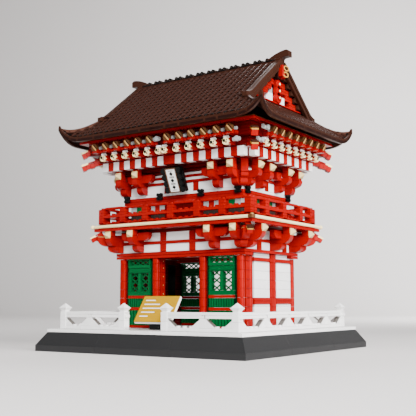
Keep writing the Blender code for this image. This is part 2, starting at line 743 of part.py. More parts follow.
def build_rafters():
    beyond, below = 0.2, CORNICE_Z[0] - STUD
    lower = rafter_tier(
        LOWER_RAFTER_Z, LOWER_RAFTER_CORE, LOWER_RAFTER_TIP, LOWER_RAFTER_X, LOWER_CORNER_TAIL
    )
    band = slab(beyond, beyond, (LOWER_RAFTER_Z[1], UPPER_RAFTER_Z[1]))
    notch = CORNICE_NOTCH - GAP
    under = slab(CORNICE_X - notch, CORNICE_Y + GAP, (below, LOWER_RAFTER_Z[0]))
    across = slab(CORNICE_X + GAP, CORNICE_Y - notch, (below, LOWER_RAFTER_Z[0]))
    part("lower_rafters", "red", lower, [band, under, across])
    upper = rafter_tier(
        UPPER_RAFTER_Z, UPPER_RAFTER_CORE, UPPER_RAFTER_TIP, UPPER_RAFTER_X, UPPER_CORNER_TAIL
    )
    part("upper_rafters", "red", upper, [slab(beyond, beyond, (below, UPPER_RAFTER_Z[0]))])


def build_eave_board():
    """The red board between the rafters and the roof."""
    part("eave_board", "red", [slab(EAVE_X, EAVE_Y, EAVE_Z)])


def corner_lift(share):
    return CORNER_LIFT * max(0.0, min(1.0, share)) ** LIFT_POWER


def slope_height(out):
    """Height of the long slopes over a line parallel to the ridge, clear of the corners."""
    return ROOF_RIM_Z + ROOF_PITCH * (RIM_Y - out)


def skirt_height(out):
    share = (out - SKIRT_TOP_X) / (RIM_X - SKIRT_TOP_X)
    return SKIRT_TOP_Z + (ROOF_RIM_Z - SKIRT_TOP_Z) * share


def loft(rows, thick, side):
    """A sheet through rows of (along, out, up) points, thickened straight down."""
    bm = bmesh.new()
    top = [[bm.verts.new(point) for point in row] for row in rows]
    low = [[bm.verts.new((a, o, u - thick)) for a, o, u in row] for row in rows]
    last_row, last = len(rows) - 1, len(rows[0]) - 1
    for r in range(last_row):
        for c in range(last):
            bm.faces.new((top[r][c], top[r][c + 1], top[r + 1][c + 1], top[r + 1][c]))
            bm.faces.new((low[r][c], low[r + 1][c], low[r + 1][c + 1], low[r][c + 1]))
        for c in (0, last):
            bm.faces.new((top[r][c], top[r + 1][c], low[r + 1][c], low[r][c]))
    for c in range(last):
        for r in (0, last_row):
            bm.faces.new((top[r][c], top[r][c + 1], low[r][c + 1], low[r][c]))
    return solid(bm, side)


def hip(share):
    """A place (x, y) on the line from the foot of the verge to the tip of the roof."""
    return (VERGE_X + (TIP_X - VERGE_X) * share, VERGE_Y + (TIP_Y - VERGE_Y) * share)


def shares(count):
    """Even steps from -1 to 1, closer together towards both ends, where the roof turns up."""
    return [math.sin(math.radians(90) * (2 * n / count - 1)) for n in range(count + 1)]


def rim_line(share, straight, tip):
    """The rim is straight but for its last stretch, where it reaches out to the tip."""
    return straight + (tip - straight) * abs(share) ** 4


def slope_rows():
    """Rows of the long slopes from the ridge down to the rim."""
    rows = []
    for out in (RIDGE_HALF_Y + GAP, VERGE_Y):
        rows.append([(VERGE_X * share, out, slope_height(out)) for share in shares(16)])
    for step in range(1, 7):
        down = step / 6
        half, level = hip(down)
        row = []
        for share in shares(16):
            out = VERGE_Y + (rim_line(share, RIM_Y, TIP_Y) - VERGE_Y) * down
            along = half * share
            lift = corner_lift((abs(along) - VERGE_X) / (TIP_X - VERGE_X))
            row.append((along, out, slope_height(min(out, RIM_Y)) + lift))
        rows.append(row)
    return rows


def skirt_rows():
    """Rows of the short slopes, from the foot of the gable down to the rim."""
    rows = []
    inset = GAP * 1.6
    edge = VERGE_X + GAP
    under = ROOF_THICK + GAP * 2
    foot = [(out, slope_place(skirt_height(out), under)) for out in (SKIRT_TOP_X, edge)]
    foot += [hip(share) for share in (0.05, 0.2, 0.35, 0.5, 0.7, 0.85, 1.0)]
    for out_end, half in foot:
        row = []
        for share in shares(16):
            down = max(0.0, (out_end - VERGE_X) / (TIP_X - VERGE_X))
            straight = VERGE_X + (RIM_X - VERGE_X) * down if out_end > VERGE_X else out_end
            out = rim_line(share, straight, out_end)
            along = (half - inset) * share
            lift = corner_lift((abs(along) - VERGE_Y) / (TIP_Y - VERGE_Y))
            row.append((along, out, skirt_height(min(out, RIM_X)) + lift))
        rows.append(row)
    return rows


def build_roof():
    for side in ("front", "back"):
        part(f"roof_slope_{side}", "brown", [loft(slope_rows(), ROOF_THICK, side)])
    for side in ("left", "right"):
        part(f"roof_skirt_{side}", "brown", [loft(skirt_rows(), ROOF_THICK, side)])


def under_slope(out, depth):
    return slope_height(out) - depth


def slope_place(height, depth):
    """How far out the slope, less a depth, stands at a height."""
    return RIM_Y - (height + depth - ROOF_RIM_Z) / ROOF_PITCH


def build_gables():
    """A gable wall at each end, with the barge board that hangs under the verge in front of it."""
    under = ROOF_THICK + GAP
    for side in ("left", "right"):
        foot = slope_place(GABLE_LOW + 0.012, under)
        wall = [(-foot, GABLE_LOW), (foot, GABLE_LOW), (foot, GABLE_LOW + 0.012)]
        wall += [(0, under_slope(0, under) - 0.006), (-foot, GABLE_LOW + 0.012)]
        outer = slope_place(BARGE_LOW, under)
        inner = slope_place(BARGE_LOW, under + BARGE_DEPTH)
        peak = RIDGE_HALF_Y + GAP
        barge = [(inner, BARGE_LOW), (outer, BARGE_LOW), (peak, under_slope(peak, under))]
        barge += [(-peak, under_slope(peak, under)), (-outer, BARGE_LOW), (-inner, BARGE_LOW)]
        barge += [(0, under_slope(0, under + BARGE_DEPTH))]
        pieces = [gable_sheet(wall, GABLE_X, side), gable_sheet(barge, BARGE_X, side)]
        part(f"gable_{side}", "dark_brown", pieces)


def gable_sheet(outline, across, side):
    """An outline of (along, up) points, thickened between two distances out from the centre."""
    middle = (across[0] + across[1]) / 2
    flip = Matrix(((0, 1, 0, 0), (1, 0, 0, middle), (0, 0, 1, 0), (0, 0, 0, 1)))
    return sheet(outline, across[1] - across[0], side, flip)


def build_ridge():
    """The ridge beam with a horn at each end that sweeps up and out."""
    half = RIDGE_HALF_Y
    beam = block((-RIDGE_HALF_X, RIDGE_HALF_X), (-half, half), RIDGE_Z)
    pieces = [beam]
    for side in ("left", "right"):
        low = RIDGE_Z[0] + 0.003
        outline = [(RIDGE_HALF_X - 0.016, low), (RIDGE_HALF_X - 0.0005, low)]
        outline += [(HORN_REACH - 0.006, HORN_TOP - 0.0085), (HORN_REACH, HORN_TOP - 0.0085)]
        outline += [(HORN_REACH, HORN_TOP - 0.0015), (HORN_REACH - 0.005, HORN_TOP)]
        outline += [(RIDGE_HALF_X - 0.004, HORN_TOP - 0.003), (RIDGE_HALF_X - 0.016, RIDGE_Z[1] - 0.001)]
        pieces.append(sheet(outline, HORN_HALF_Y * 2, side))
    part("ridge", "brown", pieces)


def build_boards():
    bm = bmesh.new()
    turn = Matrix.Rotation(NAME_BOARD_LEAN, 4, "X")
    place = Matrix.Translation(NAME_BOARD_AT) @ turn @ Matrix.Diagonal((*NAME_BOARD_SIZE, 1))
    bmesh.ops.create_cube(bm, size=1, matrix=place)
    board = solid(bm)
    hanger = block(*HANGER, "front")
    cut = slab(WALL_X + GAP, WALL_Y + GAP, (0.160, UPPER_WALL_Z[1]))
    part("name_board", "black", [board, hanger], [cut])
    bm = bmesh.new()
    turn = Matrix.Rotation(SIGN_TILT, 4, "X")
    place = Matrix.Translation(SIGN_AT) @ turn @ Matrix.Diagonal((*SIGN_SIZE, 1))
    bmesh.ops.create_cube(bm, size=1, matrix=place)
    board = solid(bm)
    stand = block(*SIGN_STAND, "front")
    part("sign_board", "gold", [board, stand])


clear_scene()
PARTS = new_collection("gate_pagoda")
HELPERS = new_collection("helpers", hidden=True)
MATERIALS = {name: new_material(name) for name in COLOURS}
build_plinth()
build_fence()
build_columns()
build_screens()
build_side_walls()
build_lintel()
build_lower_brackets()
build_balcony()
build_rods()
build_upper_storey()
build_upper_brackets()
build_cornice()
build_rafters()
build_eave_board()
build_roof()
build_gables()
build_ridge()
build_boards()
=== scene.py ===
"""Looks of the toy-brick gate pagoda: each sub-part is rebuilt brick by brick where its CAD node stands.

Metres, +Z up, the front facing -Y. Sizes follow the toy's grid of 8 mm studs and 3.2 mm plates.
"""

import math

import bmesh
import bpy
from mathutils import Matrix, Vector


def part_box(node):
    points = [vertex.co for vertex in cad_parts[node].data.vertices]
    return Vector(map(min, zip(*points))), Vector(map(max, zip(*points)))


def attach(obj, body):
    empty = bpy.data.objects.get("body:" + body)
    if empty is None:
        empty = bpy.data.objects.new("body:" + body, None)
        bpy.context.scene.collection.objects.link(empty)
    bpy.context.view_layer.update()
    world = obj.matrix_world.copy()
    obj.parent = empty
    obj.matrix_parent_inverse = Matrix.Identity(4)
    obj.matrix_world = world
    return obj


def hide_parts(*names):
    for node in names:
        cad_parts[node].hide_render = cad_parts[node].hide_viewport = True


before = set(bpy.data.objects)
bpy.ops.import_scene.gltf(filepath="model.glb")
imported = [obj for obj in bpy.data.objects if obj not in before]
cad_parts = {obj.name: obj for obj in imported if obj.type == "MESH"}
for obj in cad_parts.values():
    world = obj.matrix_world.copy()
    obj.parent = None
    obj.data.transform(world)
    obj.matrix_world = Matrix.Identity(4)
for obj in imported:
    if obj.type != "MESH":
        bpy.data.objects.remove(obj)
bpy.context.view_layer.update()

MM = 0.001
STUD = 0.008
PLATE = 0.0032
BRICK = 0.0096
SEAM = 0.00007
BEVEL = 0.00022
STUD_RADIUS = 0.0024
STUD_HEIGHT = 0.0017

# Colour, roughness, specular level and the record's slot of each kind of brick
FINISHES = {
    "red": ((0.250, 0.0, 0.0), 0.22, 0.24, "red_brick"),
    "dark_red": ((0.085, 0.0, 0.0), 0.32, 0.15, "dark_red_brick"),
    "white": ((0.86, 0.85, 0.84), 0.26, 0.40, "white_brick"),
    "green": ((0.0, 0.075, 0.018), 0.26, 0.22, "green_brick"),
    # A darker copy of the green bricks: painted shade in the screens' grooves and recesses
    "shaded_green": ((0.0, 0.012, 0.004), 0.40, 0.15, "green_brick"),
    "cream": ((0.92, 0.72, 0.36), 0.28, 0.35, "cream_rod"),
    "tip": ((0.60, 0.44, 0.20), 0.32, 0.25, "cream_rod"),
    "tan": ((0.46, 0.24, 0.08), 0.30, 0.35, "cream_rod"),
    # A dark grey copy of the white bricks: painted shade, laid on the fence's slopes
    "painted_shade": ((0.11, 0.10, 0.09), 0.45, 0.15, "white_brick"),
    "gold": ((0.42, 0.20, 0.035), 0.28, 0.40, "gold_board"),
    "bronze": ((0.075, 0.028, 0.009), 0.30, 0.35, "brown_tile"),
    "brown": ((0.026, 0.0085, 0.0048), 0.38, 0.16, "brown_tile"),
    "tile": ((0.026, 0.0095, 0.0065), 0.16, 0.20, "brown_tile"),
    "dark_brown": ((0.007, 0.002, 0.0015), 0.45, 0.15, "dark_brown_brick"),
    "black": ((0.0015, 0.0015, 0.0015), 0.28, 0.12, "black_brick"),
    "dark_grey": ((0.026, 0.018, 0.015), 0.35, 0.20, "black_brick"),
    "grey": ((0.30, 0.30, 0.30), 0.30, 0.40, "white_brick"),
    "plinth": ((0.014, 0.014, 0.0145), 0.45, 0.28, "plinth_grey"),
    "board": ((0.40, 0.215, 0.0), 0.50, 0.05, "gold_board"),
}

# Each side maps (along, out, up) to world X, Y and Z
SIDES = {
    "front": Matrix(((1, 0, 0), (0, -1, 0), (0, 0, 1))).to_4x4(),
    "back": Matrix(((1, 0, 0), (0, 1, 0), (0, 0, 1))).to_4x4(),
    "right": Matrix(((0, 1, 0), (1, 0, 0), (0, 0, 1))).to_4x4(),
    "left": Matrix(((0, -1, 0), (1, 0, 0), (0, 0, 1))).to_4x4(),
}
LONG_SIDES = ("front", "back")
SHORT_SIDES = ("right", "left")
# Which way, along each side, the far end from the camera's corner lies
FAR = {"front": -1, "right": 1, "back": -1, "left": 1}


def node_bounds(node):
    low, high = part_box(node)
    return low, high


def link(tree, source, output, target, socket):
    tree.links.new(source.outputs[output], target.inputs[socket])


def add_node(tree, kind, **values):
    node = tree.nodes.new(kind)
    for name, value in values.items():
        node.inputs[name.replace("_", " ")].default_value = value
    return node


def glint_tint(colour):
    """Half-way from white to the pure hue, so that glints on strong colours stay coloured."""
    strongest = max(colour)
    return [0.22 + 0.78 * channel / strongest for channel in colour]


def plastic(name, colour, roughness, specular):
    """Moulded plastic: each brick a little lighter or darker, faint flow marks, and fine scratches."""
    material = bpy.data.materials.new(name)
    material.use_nodes = True
    tree = material.node_tree
    shader = tree.nodes["Principled BSDF"]
    shader.inputs["IOR"].default_value = 1.52
    shader.inputs["Specular IOR Level"].default_value = specular
    shader.inputs["Specular Tint"].default_value = (*glint_tint(colour), 1)
    place = tree.nodes.new("ShaderNodeTexCoord")
    flow = add_node(tree, "ShaderNodeTexNoise", Scale=90.0, Detail=3.0, Roughness=0.5)
    link(tree, place, "Object", flow, "Vector")
    island = tree.nodes.new("ShaderNodeNewGeometry")
    lighter = tree.nodes.new("ShaderNodeMath")
    lighter.operation = "MULTIPLY_ADD"
    lighter.inputs[1].default_value = 0.5
    link(tree, island, "Random Per Island", lighter, 0)
    halved = tree.nodes.new("ShaderNodeMath")
    halved.operation = "MULTIPLY"
    halved.inputs[1].default_value = 0.5
    link(tree, flow, "Fac", halved, 0)
    tree.links.new(halved.outputs[0], lighter.inputs[2])
    ramp = tree.nodes.new("ShaderNodeValToRGB")
    ramp.color_ramp.elements[0].color = (*[c * 0.88 for c in colour], 1)
    ramp.color_ramp.elements[1].color = (*[min(1.0, c * 1.08) for c in colour], 1)
    tree.links.new(lighter.outputs[0], ramp.inputs["Fac"])
    link(tree, ramp, "Color", shader, "Base Color")
    scratches = add_node(tree, "ShaderNodeTexNoise", Scale=1400.0, Detail=2.0, Roughness=0.6)
    link(tree, place, "Object", scratches, "Vector")
    gloss = tree.nodes.new("ShaderNodeMapRange")
    gloss.inputs["To Min"].default_value = roughness * 0.75
    gloss.inputs["To Max"].default_value = roughness * 1.3
    link(tree, scratches, "Fac", gloss, "Value")
    link(tree, gloss, "Result", shader, "Roughness")
    bump = add_node(tree, "ShaderNodeBump", Strength=0.05, Distance=0.0002)
    link(tree, flow, "Fac", bump, "Height")
    link(tree, bump, "Normal", shader, "Normal")
    return material


MATERIALS = {name: plastic(name, *finish[:3]) for name, finish in FINISHES.items()}


def arc(start, end, steps=6, bulge_out=True):
    """Points of a quarter ellipse between two points: level at the start and upright at the end, or the reverse."""
    points = []
    for step in range(steps + 1):
        angle = math.radians(90) * step / steps
        across, rise = math.sin(angle), 1 - math.cos(angle)
        if not bulge_out:
            across, rise = 1 - math.cos(angle), math.sin(angle)
        points.append((start[0] + (end[0] - start[0]) * across, start[1] + (end[1] - start[1]) * rise))
    return points


class Shapes:
    """Bricks of one colour, gathered in one mesh. A place is (along, out, up) on one side of the building."""

    def __init__(self):
        self.bm = bmesh.new()

    def brick(self, along, out, up, side="back", place=Matrix(), seam=SEAM):
        bounds = [sorted(pair) for pair in (along, out, up)]
        size = [max(high - low - 2 * seam, seam) for low, high in bounds]
        centre = [(low + high) / 2 for low, high in bounds]
        matrix = SIDES[side] @ place @ Matrix.Translation(centre) @ Matrix.Diagonal((*size, 1))
        bmesh.ops.create_cube(self.bm, size=1, matrix=matrix)

    def rod(self, start, axis, radius, length, side="back", sides=16, top=None, spin=0.0, place=Matrix()):
        turn = Vector(axis).to_track_quat("Z", "Y").to_matrix().to_4x4()
        matrix = Matrix.Translation(start) @ turn @ Matrix.Rotation(spin, 4, "Z")
        bmesh.ops.create_cone(
            self.bm,
            cap_ends=True,
            segments=sides,
            radius1=radius,
            radius2=radius if top is None else top,
            depth=length,
            matrix=SIDES[side] @ place @ matrix @ Matrix.Translation((0, 0, length / 2)),
        )

    def stud(self, along, out, up, side="back", place=Matrix()):
        self.rod((along, out, up - 0.0002), (0, 0, 1), STUD_RADIUS, STUD_HEIGHT + 0.0002, side, 12, place=place)

    def ball(self, centre, radius, side="back", place=Matrix()):
        matrix = SIDES[side] @ place @ Matrix.Translation(centre)
        bmesh.ops.create_uvsphere(self.bm, u_segments=12, v_segments=8, radius=radius, matrix=matrix)

    def prism(self, points, bounds, across="along", side="back", place=Matrix()):
        """An outline extruded between two bounds of the axis that it lies across."""
        order = {"along": lambda p, b: (b, *p), "out": lambda p, b: (p[0], b, p[1]), "up": lambda p, b: (*p, b)}
        matrix = SIDES[side] @ place
        ends = [
            [self.bm.verts.new(matrix @ Vector(order[across](point, bound))) for point in points] for bound in bounds
        ]
        self.bm.faces.new(ends[0])
        self.bm.faces.new(ends[1])
        for here in range(len(points)):
            after = (here + 1) % len(points)
            self.bm.faces.new((ends[0][here], ends[0][after], ends[1][after], ends[1][here]))

    def loft(self, sections, side="back", closed=True):
        """A skin through sections of as many (along, out, up) points, with the ends filled if it is closed."""
        rows = [[self.bm.verts.new(SIDES[side] @ Vector(point)) for point in section] for section in sections]
        count = len(rows[0])
        for first, second in zip(rows, rows[1:]):
            for here in range(count if closed else count - 1):
                after = (here + 1) % count
                self.bm.faces.new((first[here], first[after], second[after], second[here]))
        if closed:
            self.bm.faces.new(rows[0])
            self.bm.faces.new(rows[-1])

    def ring(self, centre, axis, radius, thick, side="back", turns=20, sides=8):
        """A torus about an axis."""
        turn = Vector(axis).to_track_quat("Z", "Y").to_matrix().to_4x4()
        matrix = SIDES[side] @ Matrix.Translation(centre) @ turn
        rows = []
        for step in range(turns):
            angle = math.tau * step / turns
            row = []
            for corner in range(sides):
                round_angle = math.tau * corner / sides
                reach = radius + thick * math.cos(round_angle)
                point = (reach * math.cos(angle), reach * math.sin(angle), thick * math.sin(round_angle))
                row.append(self.bm.verts.new(matrix @ Vector(point)))
            rows.append(row)
        for step in range(turns):
            first, second = rows[step], rows[(step + 1) % turns]
            for corner in range(sides):
                after = (corner + 1) % sides
                self.bm.faces.new((first[corner], first[after], second[after], second[corner]))


class Palette(dict):
    """The shapes of one sub-part, by colour."""

    def __missing__(self, colour):
        self[colour] = Shapes()
        return self[colour]


def show(name, palette, *nodes, bevel=BEVEL):
    """Makes one piece for each colour of a sub-part, in place of its CAD nodes."""
    for colour, shapes in palette.items():
        bmesh.ops.recalc_face_normals(shapes.bm, faces=shapes.bm.faces)
        mesh = bpy.data.meshes.new(f"{name}_{colour}")
        shapes.bm.to_mesh(mesh)
        shapes.bm.free()
        mesh.materials.append(MATERIALS[colour])
        mesh.shade_smooth()
        mesh.set_sharp_from_angle(angle=math.radians(40))
        obj = bpy.data.objects.new(f"{name}_{colour}", mesh)
        bpy.context.scene.collection.objects.link(obj)
        if bevel:
            edge = obj.modifiers.new("Edges", "BEVEL")
            edge.width = bevel
            edge.segments = 1
            edge.limit_method = "ANGLE"
            edge.angle_limit = math.radians(40)
            edge.harden_normals = True
        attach(obj, "root")
        FINISHES[colour][3]
        if nodes:
            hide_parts(*nodes)


def steps(start, end, pitch):
    """Bounds of the bricks that fill a length at a pitch, with what is left in the last one."""
    count = max(1, round((end - start) / pitch))
    size = (end - start) / count
    return [(start + size * n, start + size * (n + 1)) for n in range(count)]


# Plinth, floor and fence


def build_plinth():
    palette = Palette()
    half, foot, top, slope = 0.136, 0.0068, 0.0202, 0.009
    inner, seams = 0.110, (-0.136, -0.048, 0.048, 0.136)
    lip = 0.0003
    for side in SIDES:
        for start, end in zip(seams, seams[1:]):
            for outline in (
                [(inner, 0), (half, 0), (half, foot), (inner, foot)],
                [(inner, foot), (half - lip, foot), (half - slope, top), (inner, top)],
            ):
                shapes = palette["plinth"]
                before = len(shapes.bm.verts)
                shapes.prism(outline, (start + SEAM, end - SEAM), side=side)
                shapes.bm.verts.ensure_lookup_table()
                mitre(shapes.bm.verts[before:], side)
    palette["plinth"].brick((-inner, inner), (-inner, inner), (0.0004, top - 0.0004))
    show("plinth", palette, "plinth", bevel=0.00015)


def mitre(verts, side):
    """Cuts the ends of a side's bricks at 45 degrees, where they meet the next side."""
    back = SIDES[side].inverted()
    for vert in verts:
        along, out, up = back @ vert.co
        along = max(SEAM - out, min(out - SEAM, along))
        vert.co = SIDES[side] @ Vector((along, out, up))


def build_floor():
    palette = Palette()
    low, high = node_bounds("floor")
    half, up = high.x, (low.z, high.z)
    tile, field = 2 * STUD, 15 * STUD
    joints = (-half, -0.112, -0.080, -0.032, -0.016, 0, 0.016, 0.064, 0.112, half)
    for side in LONG_SIDES:
        for along in zip(joints, joints[1:]):
            palette["white"].brick(along, (field, half), up, side)
    for side in SHORT_SIDES:
        for along in steps(-field, field, 6 * STUD):
            palette["white"].brick(along, (field, half), up, side)
    for x in steps(-field, field, tile):
        for y in steps(-field, field, tile):
            palette["white"].brick(x, y, up)
    show("floor", palette, "floor")


def finial(shapes, along, out, side):
    """The cap of a fence post: a flared square neck with a low pyramid on it."""
    quarter = math.radians(45)
    neck, wide, top = 0.0436, 0.0467, 0.0520
    shapes.rod((along, out, neck - 0.0006), (0, 0, 1), 0.0045, 0.0010, side, 4, spin=quarter)
    shapes.rod((along, out, neck), (0, 0, 1), 0.0040, wide - neck, side, 4, top=0.0070, spin=quarter)
    shapes.rod((along, out, wide), (0, 0, 1), 0.0074, 0.0006, side, 4, spin=quarter)
    shapes.rod((along, out, wide + 0.0006), (0, 0, 1), 0.0068, top - wide - 0.0006, side, 4, top=0.0004, spin=quarter)


def fence_bay(palette, start, end, middle, side):
    """An opening with a cheese slope in each lower corner and studs between them, and a thin grey piece of painted
    shade on each slope's upper face.
    """
    shapes = palette["white"]
    low, high, reach, thin = 0.0276, 0.0348, 0.0092, 0.0006
    out = (middle - 0.0032, middle + 0.0030)
    for corner, sign in ((start, 1), (end, -1)):
        points = [(corner, low), (corner, high), (corner + sign * 0.0010, high)]
        points += [(corner + sign * reach, low + 0.0010), (corner + sign * reach, low)]
        shapes.prism(points, out, "out", side)
        # A thin grey piece on the slope's upper face, painted as the shade inside the opening
        painted_shade_cover = [points[2], (points[2][0], high + thin), (points[3][0] + sign * thin, points[3][1]), points[3]]
        palette["painted_shade"].prism(painted_shade_cover, (out[0], out[1] - 0.0008), "out", side)
    centre = (start + end) / 2
    count = int((end - start - 2 * reach) / STUD + 1)
    for n in range(count):
        shapes.stud(centre + (n - (count - 1) / 2) * STUD, middle, low, side)


def fence_run(palette, side, start, end, slim, full_posts):
    shapes = palette["white"]
    out_face = 0.1172
    middle = out_face - STUD / 2
    body = (middle - 0.0032, middle + 0.0032)
    base, slot, rail = (0.0241, 0.0276), 0.0368, 0.0430
    first = start + STUD if full_posts else start
    last = end - STUD if full_posts else end
    for along in steps(start, end, 4 * STUD):
        shapes.brick(along, (body[0] - 0.0004, body[1] + 0.0004), base, side)
    joints = [start, *slim, end]
    for along in zip(joints, joints[1:]):
        shapes.brick(along, body, (slot + PLATE, rail), side)
        shapes.brick((along[0] + PLATE, along[1] + PLATE / 2), body, (slot, slot + PLATE), side)
    for centre in slim:
        shapes.brick((centre - STUD / 2, centre + STUD / 2), body, (base[1], slot), side)
        palette["dark_grey"].brick(
            (centre - 0.0006, centre + 0.0006), (body[1], body[1] + 0.0002), (slot + PLATE - 0.0005, slot + PLATE), side
        )
    edges = [first] + [edge for centre in slim for edge in (centre - STUD / 2, centre + STUD / 2)] + [last]
    for low, high in zip(edges[::2], edges[1::2]):
        fence_bay(palette, low, high, middle, side)
    if not full_posts:
        return
    for centre in (start + STUD / 2, end - STUD / 2):
        along = (centre - STUD / 2, centre + STUD / 2)
        for low in (base[0], base[0] + BRICK):
            shapes.brick(along, (out_face - STUD, out_face), (low, min(low + BRICK, 0.0432)), side)
        finial(shapes, centre, middle, side)


def build_fence():
    corner, gate = 0.1172, 0.024
    inner = corner - STUD
    for side in LONG_SIDES:
        for name, start, end, slim in (("left", -corner, -gate, -0.0748), ("right", gate, corner, 0.0748)):
            palette = Palette()
            fence_run(palette, side, start, end, [slim], True)
            show(f"fence_{side}_{name}", palette, f"fence_{side}_{name}")
    for side in SHORT_SIDES:
        palette = Palette()
        fence_run(palette, side, -inner, inner, [-0.0640, -0.0180, 0.0245, 0.0715], False)
        show(f"fence_{side}", palette, f"fence_{side}")


# The open hall


def courses(low, high, joint, height=BRICK):
    """Bounds of the courses between two levels, with a joint at a stated level."""
    first = joint - math.ceil((joint - low) / height) * height
    levels = [low]
    level = first
    while level < high:
        if level > low:
            levels.append(level)
        level += height
    levels.append(high)
    return [pair for pair in zip(levels, levels[1:]) if pair[1] - pair[0] > 0.0005]


def round_column(palette, x, out, side):
    low, high, joint = 0.0243, 0.1016, 0.0960
    for start, end in courses(low, high, joint):
        palette["red"].rod((x, out, start + SEAM), (0, 0, 1), STUD / 2, end - start - 2 * SEAM, side, 32)


def square_stack(palette, x, out, side):
    """The stack behind a column, with the round marks on its cheeks."""
    low, high, joint = 0.0243, 0.1016, 0.0960
    half = STUD / 2 - 0.0001
    for start, end in courses(low, high, joint):
        palette["red"].brick((x - half, x + half), (out - half, out + half), (start, end), side)
        if end - start < BRICK / 2:
            continue
        middle = (start + end) / 2
        for cheek in (-1, 1):
            if abs(x) < 0.05:
                palette["tan"].rod((x + cheek * half, out, middle), (cheek, 0, 0), 0.0008, 0.0004, side, 12)
            else:
                face = (x + cheek * half, x + cheek * (half + 0.0003))
                palette["dark_red"].brick(face, (out - 0.0026, out + 0.0026), (end - 0.0006, end + 0.0006), side)


def build_columns():
    line, stack_line, second_line = 0.054, 0.046, 0.038
    for side in LONG_SIDES:
        for number, x in enumerate((-0.080, -0.032, 0.032, 0.080), 1):
            palette = Palette()
            corner = abs(x) > 0.05
            round_column(palette, x, line, side)
            if side == "front" or not corner:
                square_stack(palette, x, stack_line, side)
            if side == "front" and corner:
                round_column(palette, x, second_line, side)
            show(f"column_{side}_{number}", palette, f"column_{side}_{number}")


def lattice(shapes, along, up, out, side, cell):
    """Bars that cross in an opening, two to a cell."""
    width = 0.0012
    columns = max(1, round((along[1] - along[0]) / cell[0]))
    rows = max(1, round((up[1] - up[0]) / cell[1]))
    wide, tall = (along[1] - along[0]) / columns, (up[1] - up[0]) / rows
    length = math.hypot(wide, tall)
    depth = (out[1] - out[0]) / 2
    for column in range(columns):
        for row in range(rows):
            centre = (along[0] + wide * (column + 0.5), (out[0] + out[1]) / 2, up[0] + tall * (row + 0.5))
            for sign in (-1, 1):
                turn = Matrix.Rotation(sign * math.atan2(tall, wide), 4, "Y")
                place = Matrix.Translation(centre) @ turn
                bounds = ((-length / 2, length / 2), (-depth, depth), (-width / 2, width / 2))
                shapes.brick(*bounds, side, place)


def grooved(palette, along, up, side, pitch):
    """A green panel of upright ribs, with a darker copy of the green behind them as painted shade in the grooves."""
    palette["shaded_green"].brick(along, (0.0478, 0.0538), up, side)
    for low, high in steps(*along, pitch):
        palette["green"].brick((low + 0.0005, high - 0.0005), (0.0538, 0.0550), up, side)
        palette["green"].brick((low + 0.0005, high - 0.0005), (0.0472, 0.0478), up, side)


def build_screen(side, name, sign):
    palette = Palette()
    green, red = palette["green"], palette["red"]

    def span(low, high):
        return sorted((sign * low, sign * high))

    whole = span(0.0400, 0.0720)
    back, face = 0.0478, 0.0552
    for up in ((0.0243, 0.0272), (0.0440, 0.0472), (0.0572, 0.0603)):
        red.brick(whole, (back, face + 0.0003), up, side)
    grooved(palette, whole, (0.0272, 0.0440), side, 0.0040)
    grooved(palette, whole, (0.0472, 0.0572), side, 0.0032)
    green.brick(whole, (back, face), (0.0603, 0.0652), side)
    green.brick(whole, (back, face - 0.0008), (0.0854, 0.0885), side)
    green.brick(whole, (back, face - 0.0014), (0.0885, 0.0916), side)
    green.brick(whole, (back, face), (0.0916, 0.0950), side)
    green.brick(whole, (back, face), (0.1003, 0.1018), side)
    for post in ((0.0400, 0.0431), (0.0541, 0.0579), (0.0689, 0.0720)):
        green.brick(span(*post), (back, face - 0.0004), (0.0652, 0.0854), side)
    for rim in ((0.0405, 0.0414), (0.0706, 0.0715)):
        green.brick(span(*rim), (face - 0.0004, face + 0.0003), (0.0640, 0.0872), side)
    for rim in ((0.0634, 0.0643), (0.0863, 0.0872)):
        green.brick(whole, (face - 0.0006, face + 0.0003), rim, side)
    for post in ((0.0400, 0.0414), (0.0706, 0.0720)):
        green.brick(span(*post), (back, face), (0.0950, 0.1003), side)
    for window in ((0.0431, 0.0541), (0.0579, 0.0689)):
        lattice(green, span(*window), (0.0640, 0.0880), (0.0508, 0.0530), side, (0.0110, 0.0080))
    lattice(green, span(0.0414, 0.0706), (0.0950, 0.1003), (0.0508, 0.0530), side, (0.0073, 0.0053))
    # The strips beside the panel take the darker green, painted as the shade in the recess
    for wing in ((0.0364, 0.0400), (0.0720, 0.0756)):
        for up in courses(0.0243, 0.1016, 0.0960, PLATE):
            palette["shaded_green"].brick(span(*wing), (0.0500, 0.0524), up, side)
    show(f"screen_{side}_{name}", palette, f"screen_{side}_{name}", bevel=0.00012)


def build_side_wall(side):
    palette = Palette()
    white, red, inner_shade_red = palette["white"], palette["red"], palette["dark_red"]
    skin, face, trim = 0.0782, 0.0820, 0.0843
    low, high = 0.0243, 0.1050
    panels = ((-0.0300, 0.0020), (0.0180, 0.0496))
    rails = ((0.0508, 0.0540), (0.0541, 0.0574), (0.0965, 0.1005))
    for panel in panels:
        for up in [*courses(low, 0.0508, 0.0480), *courses(0.0574, 0.0965, 0.0670), (0.1005, 0.1027), (0.1028, high)]:
            white.brick(panel, (skin, face), up, side)
        for up in rails:
            red.brick((panel[0] - 0.0036, panel[1]), (skin, trim - 0.0003), up, side)
    for up in courses(low, high, 0.0960):
        red.brick((0.0020, 0.0096), (skin, trim), up, side)
        red.rod((0.0118, 0.0816, up[0] + SEAM), (0, 0, 1), 0.0026, up[1] - up[0] - 2 * SEAM, side, 24)
    # Dark brown strips in the narrow recesses beside the posts: painted shade
    for strip in ((-0.0336, -0.0302), (0.0144, 0.0178)):
        palette["dark_brown"].brick(strip, (skin, 0.0802), (low, high), side)
    # The inner face towards the hall is dark red: the red painted as the shade inside the hall
    for bounds in steps(-0.0336, 0.0496, 2 * STUD):
        for up in courses(low, high, 0.0960):
            inner_shade_red.brick(bounds, (0.0748, skin), up, side)
    palette["black"].brick((0.0240, 0.0380), (0.0742, 0.0750), (0.0300, 0.0990), side)
    show(f"side_wall_{side}", palette, f"side_wall_{side}")


